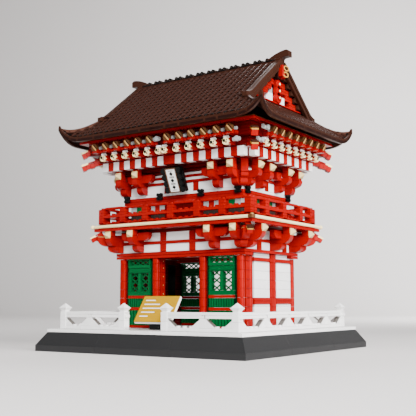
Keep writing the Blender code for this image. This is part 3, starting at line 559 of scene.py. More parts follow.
def band(shapes, half_x, half_y, width, up, pitch):
    """A ring of plates round the building, with the long sides running through the corners."""
    for side in LONG_SIDES:
        for along in steps(-half_x, half_x, pitch):
            shapes.brick(along, (half_y - width, half_y), up, side)
    for side in SHORT_SIDES:
        for along in steps(-half_y + width, half_y - width, pitch):
            shapes.brick(along, (half_x - width, half_x), up, side)


def build_lintel():
    palette = Palette()
    half_x, half_y, width = 0.0880, 0.0580, 0.016
    for side in LONG_SIDES:
        for along in steps(-half_x, half_x, 4 * STUD):
            palette["red"].brick(along, (half_y - width, half_y), (0.1019, 0.1050), side)
    band(palette["red"], half_x, half_y, width, (0.1052, 0.1086), 6 * STUD)
    show("lintel", palette, "lintel")


# The frieze, the brackets under the balcony, and the balcony itself


FRIEZE = {"front": (0.0815, 0.0560), "back": (0.0815, 0.0560), "right": (0.0560, 0.0815), "left": (0.0560, 0.0815)}
FRIEZE_POSTS = {"front": (-0.020, 0.020), "back": (-0.020, 0.020), "right": (-0.020, 0.036), "left": (-0.020, 0.036)}


def build_frieze():
    palette = Palette()
    for side, (half, out) in FRIEZE.items():
        ends = half if side in LONG_SIDES else half - STUD
        for up in ((0.1089, 0.1176), (0.1176, 0.1210), (0.1210, 0.1307)):
            for along in steps(-ends, ends, 4 * STUD):
                palette["white"].brick(along, (out - STUD, out), up, side)
        palette["dark_red"].brick((-ends, ends), (out - STUD, out + 0.0012), (0.1307, 0.1334), side)
        for centre in FRIEZE_POSTS[side]:
            post = (centre - STUD / 2, centre + STUD / 2)
            for up in ((0.1089, 0.1176), (0.1210, 0.1307)):
                palette["red"].brick(post, (out, out + 0.0020), up, side)
    show("frieze", palette, "frieze_wall")


def arm(palette, side, along, wall, base, tiers, top, tip_z):
    """A bracket arm: two bricks with quarter-round noses, a cap, and a pale pyramid on its end."""
    bounds = (along - STUD / 2 + SEAM, along + STUD / 2 - SEAM)
    level, nose = base, wall + tiers[0][0] * 0.35
    for reach, up in tiers:
        rim = min(0.0024, (up - level) * 0.3)
        outline = [(wall - 0.0004, level), (nose, level)]
        outline += arc((nose, level), (wall + reach, up - rim))
        outline += [(wall + reach, up), (wall - 0.0004, up)]
        palette["red"].prism(outline, bounds, side=side)
        nose, level = wall + reach + 0.0004, up + SEAM * 2
    end = wall + tiers[-1][0] - 0.0010
    palette["red"].brick(bounds, (end - STUD, end), (level, top), side, seam=0)
    start = (along, wall + tiers[-1][0] - 0.0010, tip_z)
    quarter = math.radians(45)
    palette["tan"].rod(start, (0, 1, 0), 0.0055, 0.0012, side, 4, spin=quarter)
    start = (along, wall + tiers[-1][0] + 0.0002, tip_z)
    palette["tip"].rod(start, (0, 1, 0), 0.0054, 0.0050, side, 4, top=0.0004, spin=quarter)


def spreader(palette, side, along, front, up, reach=0.0160, directions=(-1, 1)):
    """Blocks that spread from an arm along the wall, rounded at their lower outer corners."""
    low, high = up
    for sign in directions:
        near, far = along + sign * STUD / 2, along + sign * (STUD / 2 + reach)
        middle = near + sign * reach * 0.5
        palette["red"].brick((near, middle), (front - 0.0064, front), up, side)
        outline = [(middle, high), (far, high), (far, high - 0.0030)]
        outline += arc((middle + sign * 0.0010, low), (far, high - 0.0030))[::-1]
        outline += [(middle, low)]
        palette["red"].prism(outline, (front - 0.0064 + SEAM, front - SEAM), "out", side)


def corner_arm(palette, side, sign, corner, base, tiers, top, reach):
    """The arm that leaves a corner at 45 degrees."""
    place = Matrix.Translation((sign * corner[0], corner[1], 0)) @ Matrix.Rotation(math.radians(-45 * sign), 4, "Z")
    level, nose = base, tiers[0][0] * 0.35 * reach
    for out, up in tiers:
        outline = [(-0.002, level), (nose, level)]
        outline += arc((nose, level), (out * reach, up - 0.002))
        outline += [(out * reach, up), (-0.002, up)]
        palette["red"].prism(outline, (-STUD / 2, STUD / 2), side=side, place=place)
        nose, level = out * reach, up + SEAM * 2
    palette["red"].brick((-STUD / 2, STUD / 2), (-0.002, tiers[-1][0] * reach), (level, top), side, place)
    return place


def tail(palette, side, sign, start, end, size):
    """A beam of stepped bricks that slopes down and out from a corner, with a pale plate on its end; at the front right
    corner that plate is painted gold under a brown band, as painted light and shade.
    """
    low = Vector((sign * start[0], start[1], start[2]))
    high = Vector((sign * end[0], end[1], end[2]))
    run = high - low
    place = Matrix.Translation(low) @ run.to_track_quat("Y", "Z").to_matrix().to_4x4()
    length, half = run.length, size / 2
    pale = min(0.0085, length * 0.45)
    # The same cream plate at every corner; at the front right one it is painted gold with a brown band over it, as
    # painted light and shade
    tip = "gold" if (side, sign) == ("front", 1) else "cream"
    for n, (near, far) in enumerate(steps(0, length, 0.0052)):
        drop = -0.0008 if n % 2 else 0.0
        palette["red"].brick((-half, half), (near, far), (drop - half, half - 0.0012 + drop), side, place)
    palette["red"].brick((-half, half), (0, length - pale), (half - 0.0014, half), side, place)
    plates = ((tip, half - 0.0022, half + 0.0002),)
    if tip == "gold":
        plates = (("brown", half - 0.0004, half + 0.0014), (tip, half - 0.0022, half - 0.0004))
    for colour, low_face, high_face in plates:
        palette[colour].brick((-half, half), (length - pale, length), (low_face, high_face), side, place)


def bracket_rail(palette, side, half, out, up, proud=0.0016):
    for along in steps(-half, half, 6 * STUD):
        palette["red"].brick(along, (out, out + proud), up, side)


LOWER = {
    "front": (0.0560, ((0.0120, 0.1165), (0.0210, 0.1275))),
    "back": (0.0560, ((0.0120, 0.1165), (0.0210, 0.1275))),
    "right": (0.0815, ((0.0155, 0.1165), (0.0260, 0.1275))),
    "left": (0.0815, ((0.0155, 0.1165), (0.0260, 0.1275))),
}


def lower_arm(palette, side, along, spread=()):
    wall, tiers = LOWER[side]
    arm(palette, side, along, wall, 0.1092, tiers, 0.1334, 0.1293)
    if spread:
        spreader(palette, side, along, wall + tiers[0][0], (0.1216, 0.1306), directions=spread)


def build_lower_brackets():
    rail, corner = (0.1176, 0.1210), (0.0815, 0.0560)
    for side, corner_arm_y in (("front", -0.052), ("back", 0.052)):
        palette = Palette()
        wall, tiers = LOWER[side]
        bracket_rail(palette, side, corner[0], wall, rail)
        for along, spread in ((-0.0846, ()), (-0.0521, (-1, 1)), (0.0521, (-1, 1)), (0.0846, ())):
            lower_arm(palette, side, along, spread)
        lower_arm(palette, "left", corner_arm_y)
        lower_arm(palette, "right", corner_arm_y)
        for sign in (-1, 1):
            place = corner_arm(palette, side, sign, corner, 0.1092, tiers, 0.1300, 1.35)
            reach = tiers[-1][0] * 1.35
            palette["tan"].brick((-0.0040, 0.0040), (reach - 0.0090, reach - 0.0005), (0.1256, 0.1290), side, place)
            tail(palette, side, sign, (0.0985, 0.0700, 0.1316), (0.1076, 0.0796, 0.1236), 0.0064)
        show(f"lower_brackets_{side}", palette, f"lower_brackets_{side}")
    for side in SHORT_SIDES:
        palette = Palette()
        bracket_rail(palette, side, 0.0480, 0.0815, rail)
        lower_arm(palette, side, 0.008, (-1, 1))
        show(f"lower_brackets_{side}", palette, f"lower_brackets_{side}")


def build_deck():
    palette = Palette()
    half_x, half_y, low, high = 0.1075, 0.0755, 0.1337, 0.1374
    kerb_x, kerb_y, kerb = 0.1040, 0.0720, 0.1425
    band(palette["red"], half_x, half_y, STUD, (low, high), 4 * STUD)
    inner_x, inner_y = half_x - STUD, half_y - STUD
    for x in steps(-inner_x, inner_x, STUD):
        palette["dark_red"].brick(x, (-inner_y, inner_y), (low, high + 0.0008))
    band(palette["red"], kerb_x, kerb_y, STUD, (high, high + 0.0019), 6 * STUD)
    band(palette["red"], kerb_x, kerb_y, STUD, (high + 0.0019, kerb), 4 * STUD)
    for x in steps(-kerb_x + STUD, kerb_x - STUD, 2 * STUD):
        for y in steps(-kerb_y + STUD, kerb_y - STUD, 2 * STUD):
            palette["red"].brick(x, y, (high + 0.0008, kerb))
    show("deck", palette, "balcony_deck")


def build_rods():
    palette = Palette()
    radius, height = 0.0017, 0.1392
    for side, out, half in (("front", 0.0768, 0.1045), ("back", 0.0768, 0.1045), ("right", 0.1087, 0.0735), ("left", 0.1087, 0.0735)):
        for low, high in steps(-half, half, 4.3 * STUD):
            palette["cream"].rod((low + 0.00012, out, height), (1, 0, 0), radius, high - low - 0.00024, side, 16)
    for x in (-1, 1):
        for y in (-1, 1):
            corner = (x * 0.1082, y * 0.0768)
            if (x, y) != (1, -1) and (x, y) != (-1, 1):
                palette["cream"].ball((corner[0], corner[1], height), 0.0024)
                continue
            palette["bronze"].rod((*corner, height - 0.0018), (0, 0, 1), 0.0025, 0.0036)
            palette["tan"].rod((*corner, height + 0.0018), (0, 0, 1), 0.0016, 0.0010)
            palette["bronze"].rod((corner[0] - x * 0.0040, corner[1], height), (x, 0, 0), 0.0021, 0.0022)
            palette["bronze"].rod((corner[0], corner[1] - y * 0.0042, height), (0, y, 0), 0.0021, 0.0024)
    show("balcony_rods", palette, "balcony_rods", bevel=0.00015)


def railing(palette, side, half, out, posts, end_width):
    red = palette["red"]
    foot, rail, top = 0.1428, (0.1495, 0.1528), 0.1600
    centre = out - STUD / 2
    body = (out - STUD + 0.0004, out - 0.0004)
    for along in steps(-half, half, 6 * STUD):
        red.brick(along, (out - STUD, out), (foot, foot + 0.0014), side)
    for low, high in steps(-half, half, 4 * STUD):
        red.brick((low, high), body, rail, side)
    uprights = [(at - STUD / 2, at + STUD / 2) for at in posts]
    uprights += [(-half, end_width - half), (half - end_width, half)]
    for along, _ in steps(-half, half, STUD):
        place = along + STUD / 2
        if any(low - 0.002 < place < high + 0.002 for low, high in uprights):
            continue
        red.stud(place, centre, foot + 0.0014 - 0.0004, side)
        red.stud(place, centre, rail[1], side)
    edges = sorted(edge for pair in uprights for edge in pair)
    for low, high in zip(edges[1::2], edges[2::2]):
        red.rod((low - 0.0004, centre, 0.1608), (1, 0, 0), 0.0016, high - low + 0.0008, side, 16)
    for along in uprights:
        for up in courses(foot, top, foot, PLATE):
            red.brick(along, (out - STUD, out), up, side)
        red.stud(sum(along) / 2, centre, top, side)


def build_railings():
    for side in LONG_SIDES:
        palette = Palette()
        railing(palette, side, 0.1040, 0.0720, (-0.068, -0.0355, 0.0, 0.0355, 0.068), STUD)
        show(f"railing_{side}", palette, f"railing_{side}")
    for side in SHORT_SIDES:
        palette = Palette()
        railing(palette, side, 0.0637, 0.1040, (-0.038, 0.0, 0.038), STUD / 2)
        show(f"railing_{side}", palette, f"railing_{side}")


# The upper storey


def build_upper_base():
    """The wall behind the railing, with its row of pale, green and red bricks under the beam."""
    palette = Palette()
    low, row, beam, top = 0.1428, 0.1560, 0.1648, 0.1720
    rows = {
        "front": ((0.027, "dark_red"), (0.034, "grey"), (0.041, "red"), (0.048, "grey"), (0.060, "red"),
                  (0.068, "green"), (0.0765, "grey")),
        "right": ((0.008, "dark_red"), (0.020, "green"), (0.027, "grey"), (0.038, "dark_red")),
    }
    rows["back"], rows["left"] = rows["front"], rows["right"]
    for side in SIDES:
        out = 0.0460 if side in LONG_SIDES else 0.0765
        for sign in (-1, 1):
            start = 0.0
            for end, colour in rows[side]:
                along = sorted((sign * start, sign * end))
                palette[colour].brick(along, (out - STUD, out), (row, beam), side)
                lower = "dark_grey" if colour in ("grey", "green") or end == 0.041 else "dark_red"
                for up in courses(low, row, low):
                    palette[lower].brick(along, (out - STUD, out), up, side)
                start = end
        half, face = (0.0821, 0.0516) if side in LONG_SIDES else (0.0436, 0.0821)
        for up in ((beam, beam + 0.0035), (beam + 0.0035, top)):
            for bounds in steps(-half, half, 4 * STUD):
                palette["red"].brick(bounds, (face - STUD, face), up, side)
    show("upper_base", palette, "upper_base_wall")


def lobed(palette, side, along, out, up):
    """A small black ornament of four lobes round a boss."""
    for n in range(4):
        angle = math.radians(45 + 90 * n)
        centre = (along + 0.0030 * math.cos(angle), out, up + 0.0030 * math.sin(angle))
        palette["black"].rod(centre, (0, 1, 0), 0.0020, 0.0030, side, 12)
    palette["black"].rod((along, out - 0.001, up), (0, 1, 0), 0.0016, 0.0046, side, 12)
    palette["black"].brick((along - 0.0028, along + 0.0028), (out - 0.001, out + 0.0012), (up - 0.0028, up + 0.0028), side)


UPPER = {"front": (0.0805, 0.0500), "back": (0.0805, 0.0500), "right": (0.0500, 0.0805), "left": (0.0500, 0.0805)}


def build_upper_wall():
    palette = Palette()
    for side, (half, out) in UPPER.items():
        ends = half if side in LONG_SIDES else half - STUD
        for up in ((0.1723, 0.1750), (0.1750, 0.1848), (0.1879, 0.1911), (0.1940, 0.1967)):
            for along in steps(-ends, ends, 4 * STUD):
                palette["white"].brick(along, (out - STUD, out), up, side)
        for up, proud in (((0.1848, 0.1879), 0.0004), ((0.1911, 0.1940), 0.0010)):
            for along in steps(-ends, ends, 4 * STUD):
                palette["red"].brick(along, (out - STUD, out + proud), up, side)
        places = (-0.020, 0.020) if side in LONG_SIDES else (0.0,)
        for centre in places:
            palette["red"].brick((centre - 0.0038, centre + 0.0038), (out, out + 0.0008), (0.1750, 0.1848), side)
        black = (-0.0765, -0.0285, 0.0285, 0.0765) if side in LONG_SIDES else (-0.044, 0.044)
        for along in black:
            lobed(palette, side, along, out + 0.0018, 0.1718)
    show("upper_wall", palette, "upper_wall")


def build_upper_brackets():
    tiers = ((0.0105, 0.1830), (0.0195, 0.1915))
    spread = (0.1877, 0.1968)
    for side, (half, out) in UPPER.items():
        palette = Palette()
        long_side = side in LONG_SIDES
        bracket_rail(palette, side, half if long_side else half - 0.001, out + 0.0002, (0.1850, 0.1879), 0.0014)
        places = (-0.0766, -0.0522, 0.0522, 0.0766) if long_side else (-0.0449, -0.0205, 0.0205, 0.0449)
        for along in places:
            arm(palette, side, along, out, 0.1752, tiers, 0.1968, 0.1973)
            palette["red"].brick(
                (along - 0.0038, along + 0.0038), (out + 0.0112, out + 0.0184), (0.1968, 0.2032), side
            )
        if long_side:
            for along in places[1:3]:
                spreader(palette, side, along, out + 0.0105, spread, 0.0140)
            for sign in (-1, 1):
                noses = ((0.0075, 0.1830), (0.0110, 0.1885))
                place = corner_arm(palette, side, sign, (half, out), 0.1752, noses, 0.1890, 1.0)
                palette["red"].brick((-0.0040, 0.0040), (0.0030, 0.0112), (0.1892, 0.2032), side, place)
                palette["dark_red"].brick((-0.0060, 0.0060), (-0.0050, 0.0030), (0.1892, 0.2032), side, place)
        else:
            spreader(palette, side, places[1], out + 0.0105, spread, 0.0110, (1,))
            spreader(palette, side, places[2], out + 0.0105, spread, 0.0110, (-1,))
        show(f"upper_brackets_{side}", palette, f"upper_brackets_{side}")


def build_cornice():
    """The striped band, on two stepped courses."""
    palette = Palette()
    low, high = 0.2035, 0.2135
    for side, out, count, half in (("front", 0.0734, 24, 0.0968), ("back", 0.0734, 24, 0.0968), ("right", 0.1053, 15, 0.0649), ("left", 0.1053, 15, 0.0649)):
        for n, along in enumerate(steps(-half, half, 2 * half / count)):
            far = count - 1 - n
            white = min(n, far) % 2 == 0
            palette["white" if white else "red"].brick(along, (out - 0.0075, out), (low, high), side)
    for level, reach in ((0.1970, 0.0030), (0.2002, 0.0062)):
        band(palette["dark_red"], 0.0805 + reach, 0.0500 + reach, 0.012, (level, level + 0.0031), 4 * STUD)
    palette["dark_red"].brick((-0.0978, 0.0978), (-0.0659, 0.0659), (0.2034, 0.2130))
    for x in (-1, 1):
        for y in (-1, 1):
            palette["white"].brick((x * 0.0968, x * 0.0976), (y * 0.0649, y * 0.0657), (low, high))
    show("cornice", palette, "striped_cornice")


# Rafters


def disc_end(palette, side, along, out, up):
    """The end of a lower rafter: a pale disc with its hole painted as a black disc of shade, a gold mark, under a white
    clip.
    """
    far = FAR[side]
    palette["cream"].rod((along, out - 0.0044, up - 0.0003), (0, 1, 0), 0.0036, 0.0040, side, 24)
    # The hole is a flat black disc: painted shade
    palette["black"].rod((along + far * 0.0013, out - 0.0006, up + 0.0004), (0, 1, 0), 0.0018, 0.0004, side, 16)
    palette["bronze"].rod((along - far * 0.0012, out - 0.0006, up - 0.0014), (0, 1, 0), 0.0011, 0.0004, side, 12)
    palette["black"].rod((along - far * 0.0019, out - 0.0006, up + 0.0010), (0, 1, 0), 0.0008, 0.0004, side, 12)
    palette["white"].brick(
        (along - 0.0030, along + 0.0030), (out - 0.0090, out - 0.0026), (up + 0.0034, up + 0.0052), side
    )
    palette["white"].rod(
        (along + far * 0.0005 - 0.0028, out - 0.0035, up + 0.0048), (1, 0, 0), 0.0014, 0.0056, side, 12
    )


def bar_end(palette, side, along, out, up):
    """The end of an upper rafter: a bronze drum with a pale bar across it."""
    far = FAR[side]
    palette["bronze"].rod((along, out - 0.0060, up), (0, 1, 0), 0.0042, 0.0050, side, 20)
    palette["grey"].rod((along - far * 0.0036, out - 0.0070, up - 0.0004), (1, 0, 0), 0.0020, 0.0030, side, 12)
    place = Matrix.Translation((along - far * 0.0010, out - 0.0006, up - 0.0008))
    place = place @ Matrix.Rotation(math.radians(-48 * far), 4, "Y")
    palette["tan"].brick((-0.0046, 0.0046), (-0.0005, 0.0005), (-0.0008, 0.0008), side, place)
    palette["dark_brown"].brick((-0.0040, 0.0040), (-0.0007, 0.0001), (0.0008, 0.0020), side, place)
    for bump in (-0.0062, 0.0062):
        palette["red"].rod((along + bump, out - 0.0085, up - 0.0046), (0, 1, 0), 0.0015, 0.0030, side, 12)


def rafter_row(palette, side, up, core, tip, places, end):
    """A row of beams over a plate, each with its end piece."""
    low, high = up
    half = STUD / 2 - 0.0004
    for place in places:
        along = (place - half, place + half)
        palette["red"].brick(along, (core - STUD, tip - 0.0022), (low + 0.0002, low + 0.0052), side)
        palette["red"].brick(along, (core - STUD, tip - 0.0045), (low + 0.0052, low + 0.0080), side)
        end(palette, side, place, tip, (low + 0.0029 if end is disc_end else low + 0.0065))


def both(places):
    return sorted([-place for place in places] + list(places))


def tier(name, up, core, tip, long_places, end, tails):
    palette = Palette()
    low, high = up
    side_places = both((0.008, 0.024, 0.040, 0.056))
    rows = (("front", 1, both(long_places)), ("back", 1, both(long_places)), ("right", 0, side_places), ("left", 0, side_places))
    for side, axis, places in rows:
        rafter_row(palette, side, up, core[axis], tip[axis], places, end)
    for level in steps(low, high, (high - low) / round((high - low) / PLATE)):
        band(palette["dark_red"], core[0], core[1], 2 * STUD, level, 5 * STUD)
    palette["dark_red"].brick((-core[0] + 0.0161, core[0] - 0.0161), (-core[1] + 0.0161, core[1] - 0.0161), (low, high))
    start, finish, size = tails
    for side in LONG_SIDES:
        for sign in (-1, 1):
            tail(palette, side, sign, start, finish, size)
    return palette


def build_rafters():
    palette = tier(
        "lower", (0.2138, 0.2222), (0.1040, 0.0745), (0.1165, 0.0893),
        (0.004, 0.020, 0.036, 0.052, 0.068, 0.084), disc_end,
        ((0.0985, 0.0665, 0.2190), (0.1180, 0.0860, 0.2082), 0.0074),
    )
    show("lower_rafters", palette, "lower_rafters")
    palette = tier(
        "upper", (0.2225, 0.2357), (0.1120, 0.0820), (0.1261, 0.0958),
        (0.012, 0.028, 0.044, 0.060, 0.076, 0.092), bar_end,
        ((0.1045, 0.0725, 0.2312), (0.1182, 0.0862, 0.2228), 0.0074),
    )
    show("upper_rafters", palette, "upper_rafters")


def build_clips():
    """The grey clips that show between the rafters' ends."""
    palette = Palette()
    for side, along, out, up in (
        ("front", -0.004, 0.0900, 0.2290), ("front", 0.0955, 0.0850, 0.2180),
        ("right", -0.0690, 0.1200, 0.2300), ("right", -0.0680, 0.1130, 0.2180),
        ("back", 0.004, 0.0900, 0.2290), ("back", 0.0955, 0.0850, 0.2180),
        ("left", 0.0690, 0.1200, 0.2300), ("left", 0.0680, 0.1130, 0.2180),
    ):
        palette["grey"].rod((along - 0.0042, out, up), (1, 0, 0), 0.0021, 0.0084, side)
        palette["grey"].rod((along + 0.0016, out, up), (0, 1, 0), 0.0027, 0.0034, side)
        palette["grey"].brick((along - 0.0030, along), (out - 0.0030, out), (up, up + 0.0032), side)
    show("clips", palette)


def build_eave():
    palette = Palette()
    band(palette["red"], 0.1194, 0.0898, STUD, (0.2360, 0.2388), 5 * STUD)
    band(palette["bronze"], 0.1186, 0.0890, STUD, (0.2388, 0.2400), 6 * STUD)
    palette["black"].brick((-0.1112, 0.1112), (-0.0816, 0.0816), (0.2362, 0.2398))
    show("eave", palette, "eave_board")


# The roof


RIM_Z, PITCH, THICK = 0.2412, 0.80, 0.0052
RIM = {"x": 0.1360, "y": 0.1040}
TIP = {"x": 0.1382, "y": 0.1059}
VERGE = {"x": 0.1025, "y": 0.0739}
LIFT, LIFT_POWER = 0.0162, 2.8
SKIRT_TOP = (0.0935, 0.2722)


def corner_lift(share):
    return LIFT * max(0.0, min(1.0, share)) ** LIFT_POWER


def rim_out(share, straight, tip):
    return straight + (tip - straight) * abs(share) ** 4


class Slope:
    """One roof slope: how high it stands over a place (along, out), and where it ends."""

    def __init__(self, long_side):
        across, down = ("x", "y") if long_side else ("y", "x")
        self.long = long_side
        self.verge, self.tip = VERGE[across], TIP[across]
        self.verge_out, self.tip_out, self.rim = VERGE[down], TIP[down], RIM[down]
        self.top = 0.0066 if long_side else SKIRT_TOP[0]
        self.pitch = PITCH if long_side else (SKIRT_TOP[1] - RIM_Z) / (self.rim - SKIRT_TOP[0])

    def height(self, along, out):
        lift = corner_lift((abs(along) - self.verge) / (self.tip - self.verge))
        return RIM_Z + self.pitch * max(self.rim - out, 0.0) + lift

    def end(self, along):
        return rim_out(along / self.tip, self.rim, self.tip_out)

    def start(self, along):
        """The upper end of a row: the ridge, the gable's foot, or the hip."""
        share = (abs(along) - self.verge) / (self.tip - self.verge)
        if share <= 0:
            return self.top
        return self.verge_out + (self.tip_out - self.verge_out) * share

    def frame(self, along, out):
        """A place on the slope, with its X along the side, Y down the slope and Z square to it."""
        step = 0.0004
        here = Vector((along, out, self.height(along, out)))
        beside = Vector((along + step, out, self.height(along + step, out))) - here
        down = Vector((along, out - step, self.height(along, out - step))) - here
        down = -down.normalized()
        normal = beside.cross(down).normalized()
        across = down.cross(normal)
        matrix = Matrix((across, down, normal)).transposed().to_4x4()
        matrix.translation = here
        return matrix


def tile_row(palette, slope, side, along, run_pitch):
    """A rib of half-round tiles down the slope, and the ledges between it and the next rib."""
    start, end = slope.start(along) + 0.0006, slope.end(along) - 0.0022
    level = math.sqrt(1 + slope.pitch**2)
    count = int((end - start) * level / run_pitch)
    if count < 1:
        return
    size = (end - start) / count
    radius, length = 0.0019, size * level
    half_round = [(radius * math.cos(a), radius * math.sin(a)) for a in [math.radians(30 * n) for n in range(7)]]
    outline = [(radius, -0.0012), *half_round, (-radius, -0.0012)]
    for n in range(count):
        out = start + size * (n + 0.5)
        place = slope.frame(along, out)
        tilt = Matrix.Rotation(math.radians(2.5), 4, "X")
        tile = [(x, z - 0.0012) for x, z in outline]
        palette["tile"].prism(tile, (-length / 2 + 0.0001, length / 2 - 0.0003), "out", side, place @ tilt)
        beside = along + STUD / 2
        if beside > slope.tip or slope.start(beside) > out or slope.end(beside) < out:
            continue
        place = slope.frame(beside, out)
        palette["tile"].brick((-0.0022, 0.0022), (-length * 0.18, length * 0.30), (-0.0022, -0.0002), side, place)


def painted_hollow_shade(palette, slope, side):
    """Black blocks in the hollows between the ends of the ribs, over the rim: painted shade."""
    count = int(slope.tip / STUD)
    for n in range(-count, count):
        along = (n + 0.5) * STUD
        place = slope.frame(along, slope.end(along) - 0.0034)
        palette["black"].brick((-0.0018, 0.0018), (-0.0016, 0.0012), (-0.0014, 0.0003), side, place)


def under_sheet(palette, slope, side):
    """The dark sheet that the tiles lie on, which is also the soffit."""
    rows = []
    count = 24
    levels = [slope.top] + ([slope.verge_out * 0.5, slope.verge_out] if slope.long else [slope.verge_out])
    levels += [slope.verge_out + (slope.tip_out - slope.verge_out) * n / 6 for n in range(1, 7)]
    for out_end in levels:
        share = max(0.0, (out_end - slope.verge_out) / (slope.tip_out - slope.verge_out))
        half = slope.verge + (slope.tip - slope.verge) * share
        if not slope.long and out_end < slope.verge_out:
            half = slope.verge - 0.004
        row = []
        for n in range(count + 1):
            along = half * math.sin(math.radians(90) * (2 * n / count - 1))
            straight = min(out_end, slope.rim) if share < 1 else slope.rim
            reach = rim_out(along / slope.tip, slope.rim, slope.tip_out)
            out = straight if share == 0 else slope.verge_out + (reach - slope.verge_out) * share
            row.append((along, out, slope.height(along, out)))
        rows.append(row)
    top, low = 0.0020, THICK - 0.0004
    upper = [[(a, o, u - top) for a, o, u in row] for row in rows]
    lower = [[(a, o, u - low) for a, o, u in row] for row in rows]
    shapes = palette["dark_brown"]
    shapes.loft(upper, side, closed=False)
    shapes.loft(lower, side, closed=False)
    for edge in (0, -1):
        shapes.loft([[row[edge] for row in upper], [row[edge] for row in lower]], side, closed=False)
        shapes.loft([upper[edge], lower[edge]], side, closed=False)


def rim_board(palette, slope, side):
    """The board along the eave, which turns up with the corners, and the lip over it."""
    count = 40
    board, lip = [], []
    for n in range(count + 1):
        along = slope.tip * math.sin(math.radians(90) * (2 * n / count - 1))
        out = slope.end(along)
        up = slope.height(along, slope.rim)
        depth = 0.0052 - 0.0008 * abs(along / slope.tip) ** 6
        board.append([(along, out - 0.0040, up - depth), (along, out - 0.0004, up - depth),
                      (along, out, up - depth + 0.0006), (along, out, up - 0.0008), (along, out - 0.0040, up - 0.0008)])
        lip.append([(along, out - 0.0030, up - 0.0007), (along, out - 0.0001, up - 0.0007),
                    (along, out - 0.0003, up + 0.0006), (along, out - 0.0030, up + 0.0006)])
    palette["brown"].loft(board, side)
    palette["brown"].loft(lip, side)


def build_roof():
    for side in SIDES:
        palette = Palette()
        slope = Slope(side in LONG_SIDES)
        count = int(slope.tip / STUD)
        for n in range(-count, count + 1):
            tile_row(palette, slope, side, n * STUD, STUD)
        painted_hollow_shade(palette, slope, side)
        under_sheet(palette, slope, side)
        rim_board(palette, slope, side)
        kind = "slope" if slope.long else "skirt"
        show(f"roof_{side}", palette, f"roof_{kind}_{side}", bevel=0.00012)


def slope_up(out):
    return RIM_Z + PITCH * (RIM["y"] - out)


def build_verges():
    """The boards of the four verges, with a hip roll that runs on from each to the corner."""
    palette = Palette()
    boards = (((0.0990, 0.1034), 0.0010, 0.0042), ((0.0990, 0.1026), -0.0048, 0.0104), ((0.0972, 0.0992), 0.0014, 0.004))
    for side in LONG_SIDES:
        for sign in (-1, 1):
            for bounds, rise, sink in boards:
                along = [sign * bound for bound in bounds]
                sections = []
                for n in range(17):
                    share = n / 16
                    out = 0.0062 + (0.0770 - 0.0062) * share
                    up = slope_up(out) + 0.0052 * max(0.0, share - 0.8) ** 2 * 25
                    low, high = up - sink, up + rise
                    sections.append([
                        (along[0], out, low), (along[1], out, low), (along[1], out, high), (along[0], out, high)
                    ])
                palette["brown"].loft(sections, side)
            hip_roll(palette, side, sign)
    show("verges", palette)


def hip_roll(palette, side, sign):
    """The ridge of tiles from the foot of a verge to the tip of the roof."""
    slope = Slope(True)
    sections = []
    for n in range(17):
        share = n / 16
        along = VERGE["x"] + (TIP["x"] - VERGE["x"]) * share
        out = VERGE["y"] + (TIP["y"] - VERGE["y"]) * share
        up = slope.height(along, out)
        wide, rise = 0.0020 * (1 - 0.4 * share), 0.0014 * (1 - 0.5 * share)
        side_step = wide * 0.7
        inner_x, outer_x = along - side_step, min(along + side_step, TIP["x"] - 0.0002)
        inner_y, outer_y = out - side_step, min(out + side_step, TIP["y"] - 0.0002)
        crown_x, crown_y = min(along, TIP["x"] - 0.0002), min(out, TIP["y"] - 0.0002)
        sections.append([
            (sign * inner_x, outer_y, up - 0.003),
            (sign * outer_x, inner_y, up - 0.003),
            (sign * outer_x, inner_y, up + rise * 0.4),
            (sign * crown_x, crown_y, up + rise),
            (sign * inner_x, outer_y, up + rise * 0.4),
        ])
    palette["brown"].loft(sections, side)


def build_gable(side):
    """The gable: brown steps under the verge, red steps, a white field and a hanging ornament."""
    palette = Palette()
    foot, course, rows = 0.2722, 0.0065, 6
    palette["dark_brown"].prism(
        [(-0.086, 0.2420), (0.086, 0.2420), (0.086, 0.2440), (0.0, 0.3100), (-0.086, 0.2440)],
        (0.0852, 0.0905), "out", side,
    )
    for n in range(rows):
        low = foot + 0.0012 + n * course
        edge = RIM["y"] - (low + course + THICK - RIM_Z) / PITCH + 0.0025
        inner = edge - 0.0086
        for sign in (-1, 1):
            gable_step(palette, side, sign, (low, low + course), inner, edge, n < 4)
    for sign in (-1, 1):
        palette["white"].brick((sign * 0.0065, sign * 0.0200), (0.0890, 0.0936), (foot + 0.0010, foot + 0.0110), side)
        palette["grey"].brick((sign * 0.0065, sign * 0.0130), (0.0890, 0.0932), (foot + 0.0110, foot + 0.0180), side)
        palette["dark_red"].brick((sign * 0.0100, sign * 0.0200), (0.0890, 0.0942), (foot + 0.0150, foot + 0.0210), side)
    pendant(palette, side, 0.0935, foot)
    for along in steps(-0.0560, 0.0560, 2 * STUD):
        palette["red"].brick(along, (0.0890, 0.0968), (foot - 0.0004, foot + 0.0012), side)
    peak_rings(palette, side)
    show(f"gable_{side}", palette, f"gable_{side}")


def gable_step(palette, side, sign, up, inner, edge, red):
    """One course of the gable: a brown brick under the verge with a black strip of painted shadow under it, then red
    plates.
    """
    low, high = up
    palette["brown"].brick((sign * inner, sign * edge), (0.0890, 0.0992), (low + 0.0011, high), side)
    # A black strip under each brown brick: its painted shadow
    palette["black"].brick((sign * inner, sign * (edge - 0.0010)), (0.0890, 0.0975), (low, low + 0.0011), side)
    dot = (sign * (inner + edge) / 2, 0.0990, (low + high) / 2 + 0.0004)
    palette["grey"].rod(dot, (0, 1, 0), 0.0006, 0.0004, side, 10)
    if not red:
        return
    red_inner = max(0.0070, inner - 0.0150)
    middle = (low + high) / 2
    for level in ((low, middle), (middle, high)):
        palette["red"].brick((sign * red_inner, sign * inner), (0.0890, 0.0956), level, side)


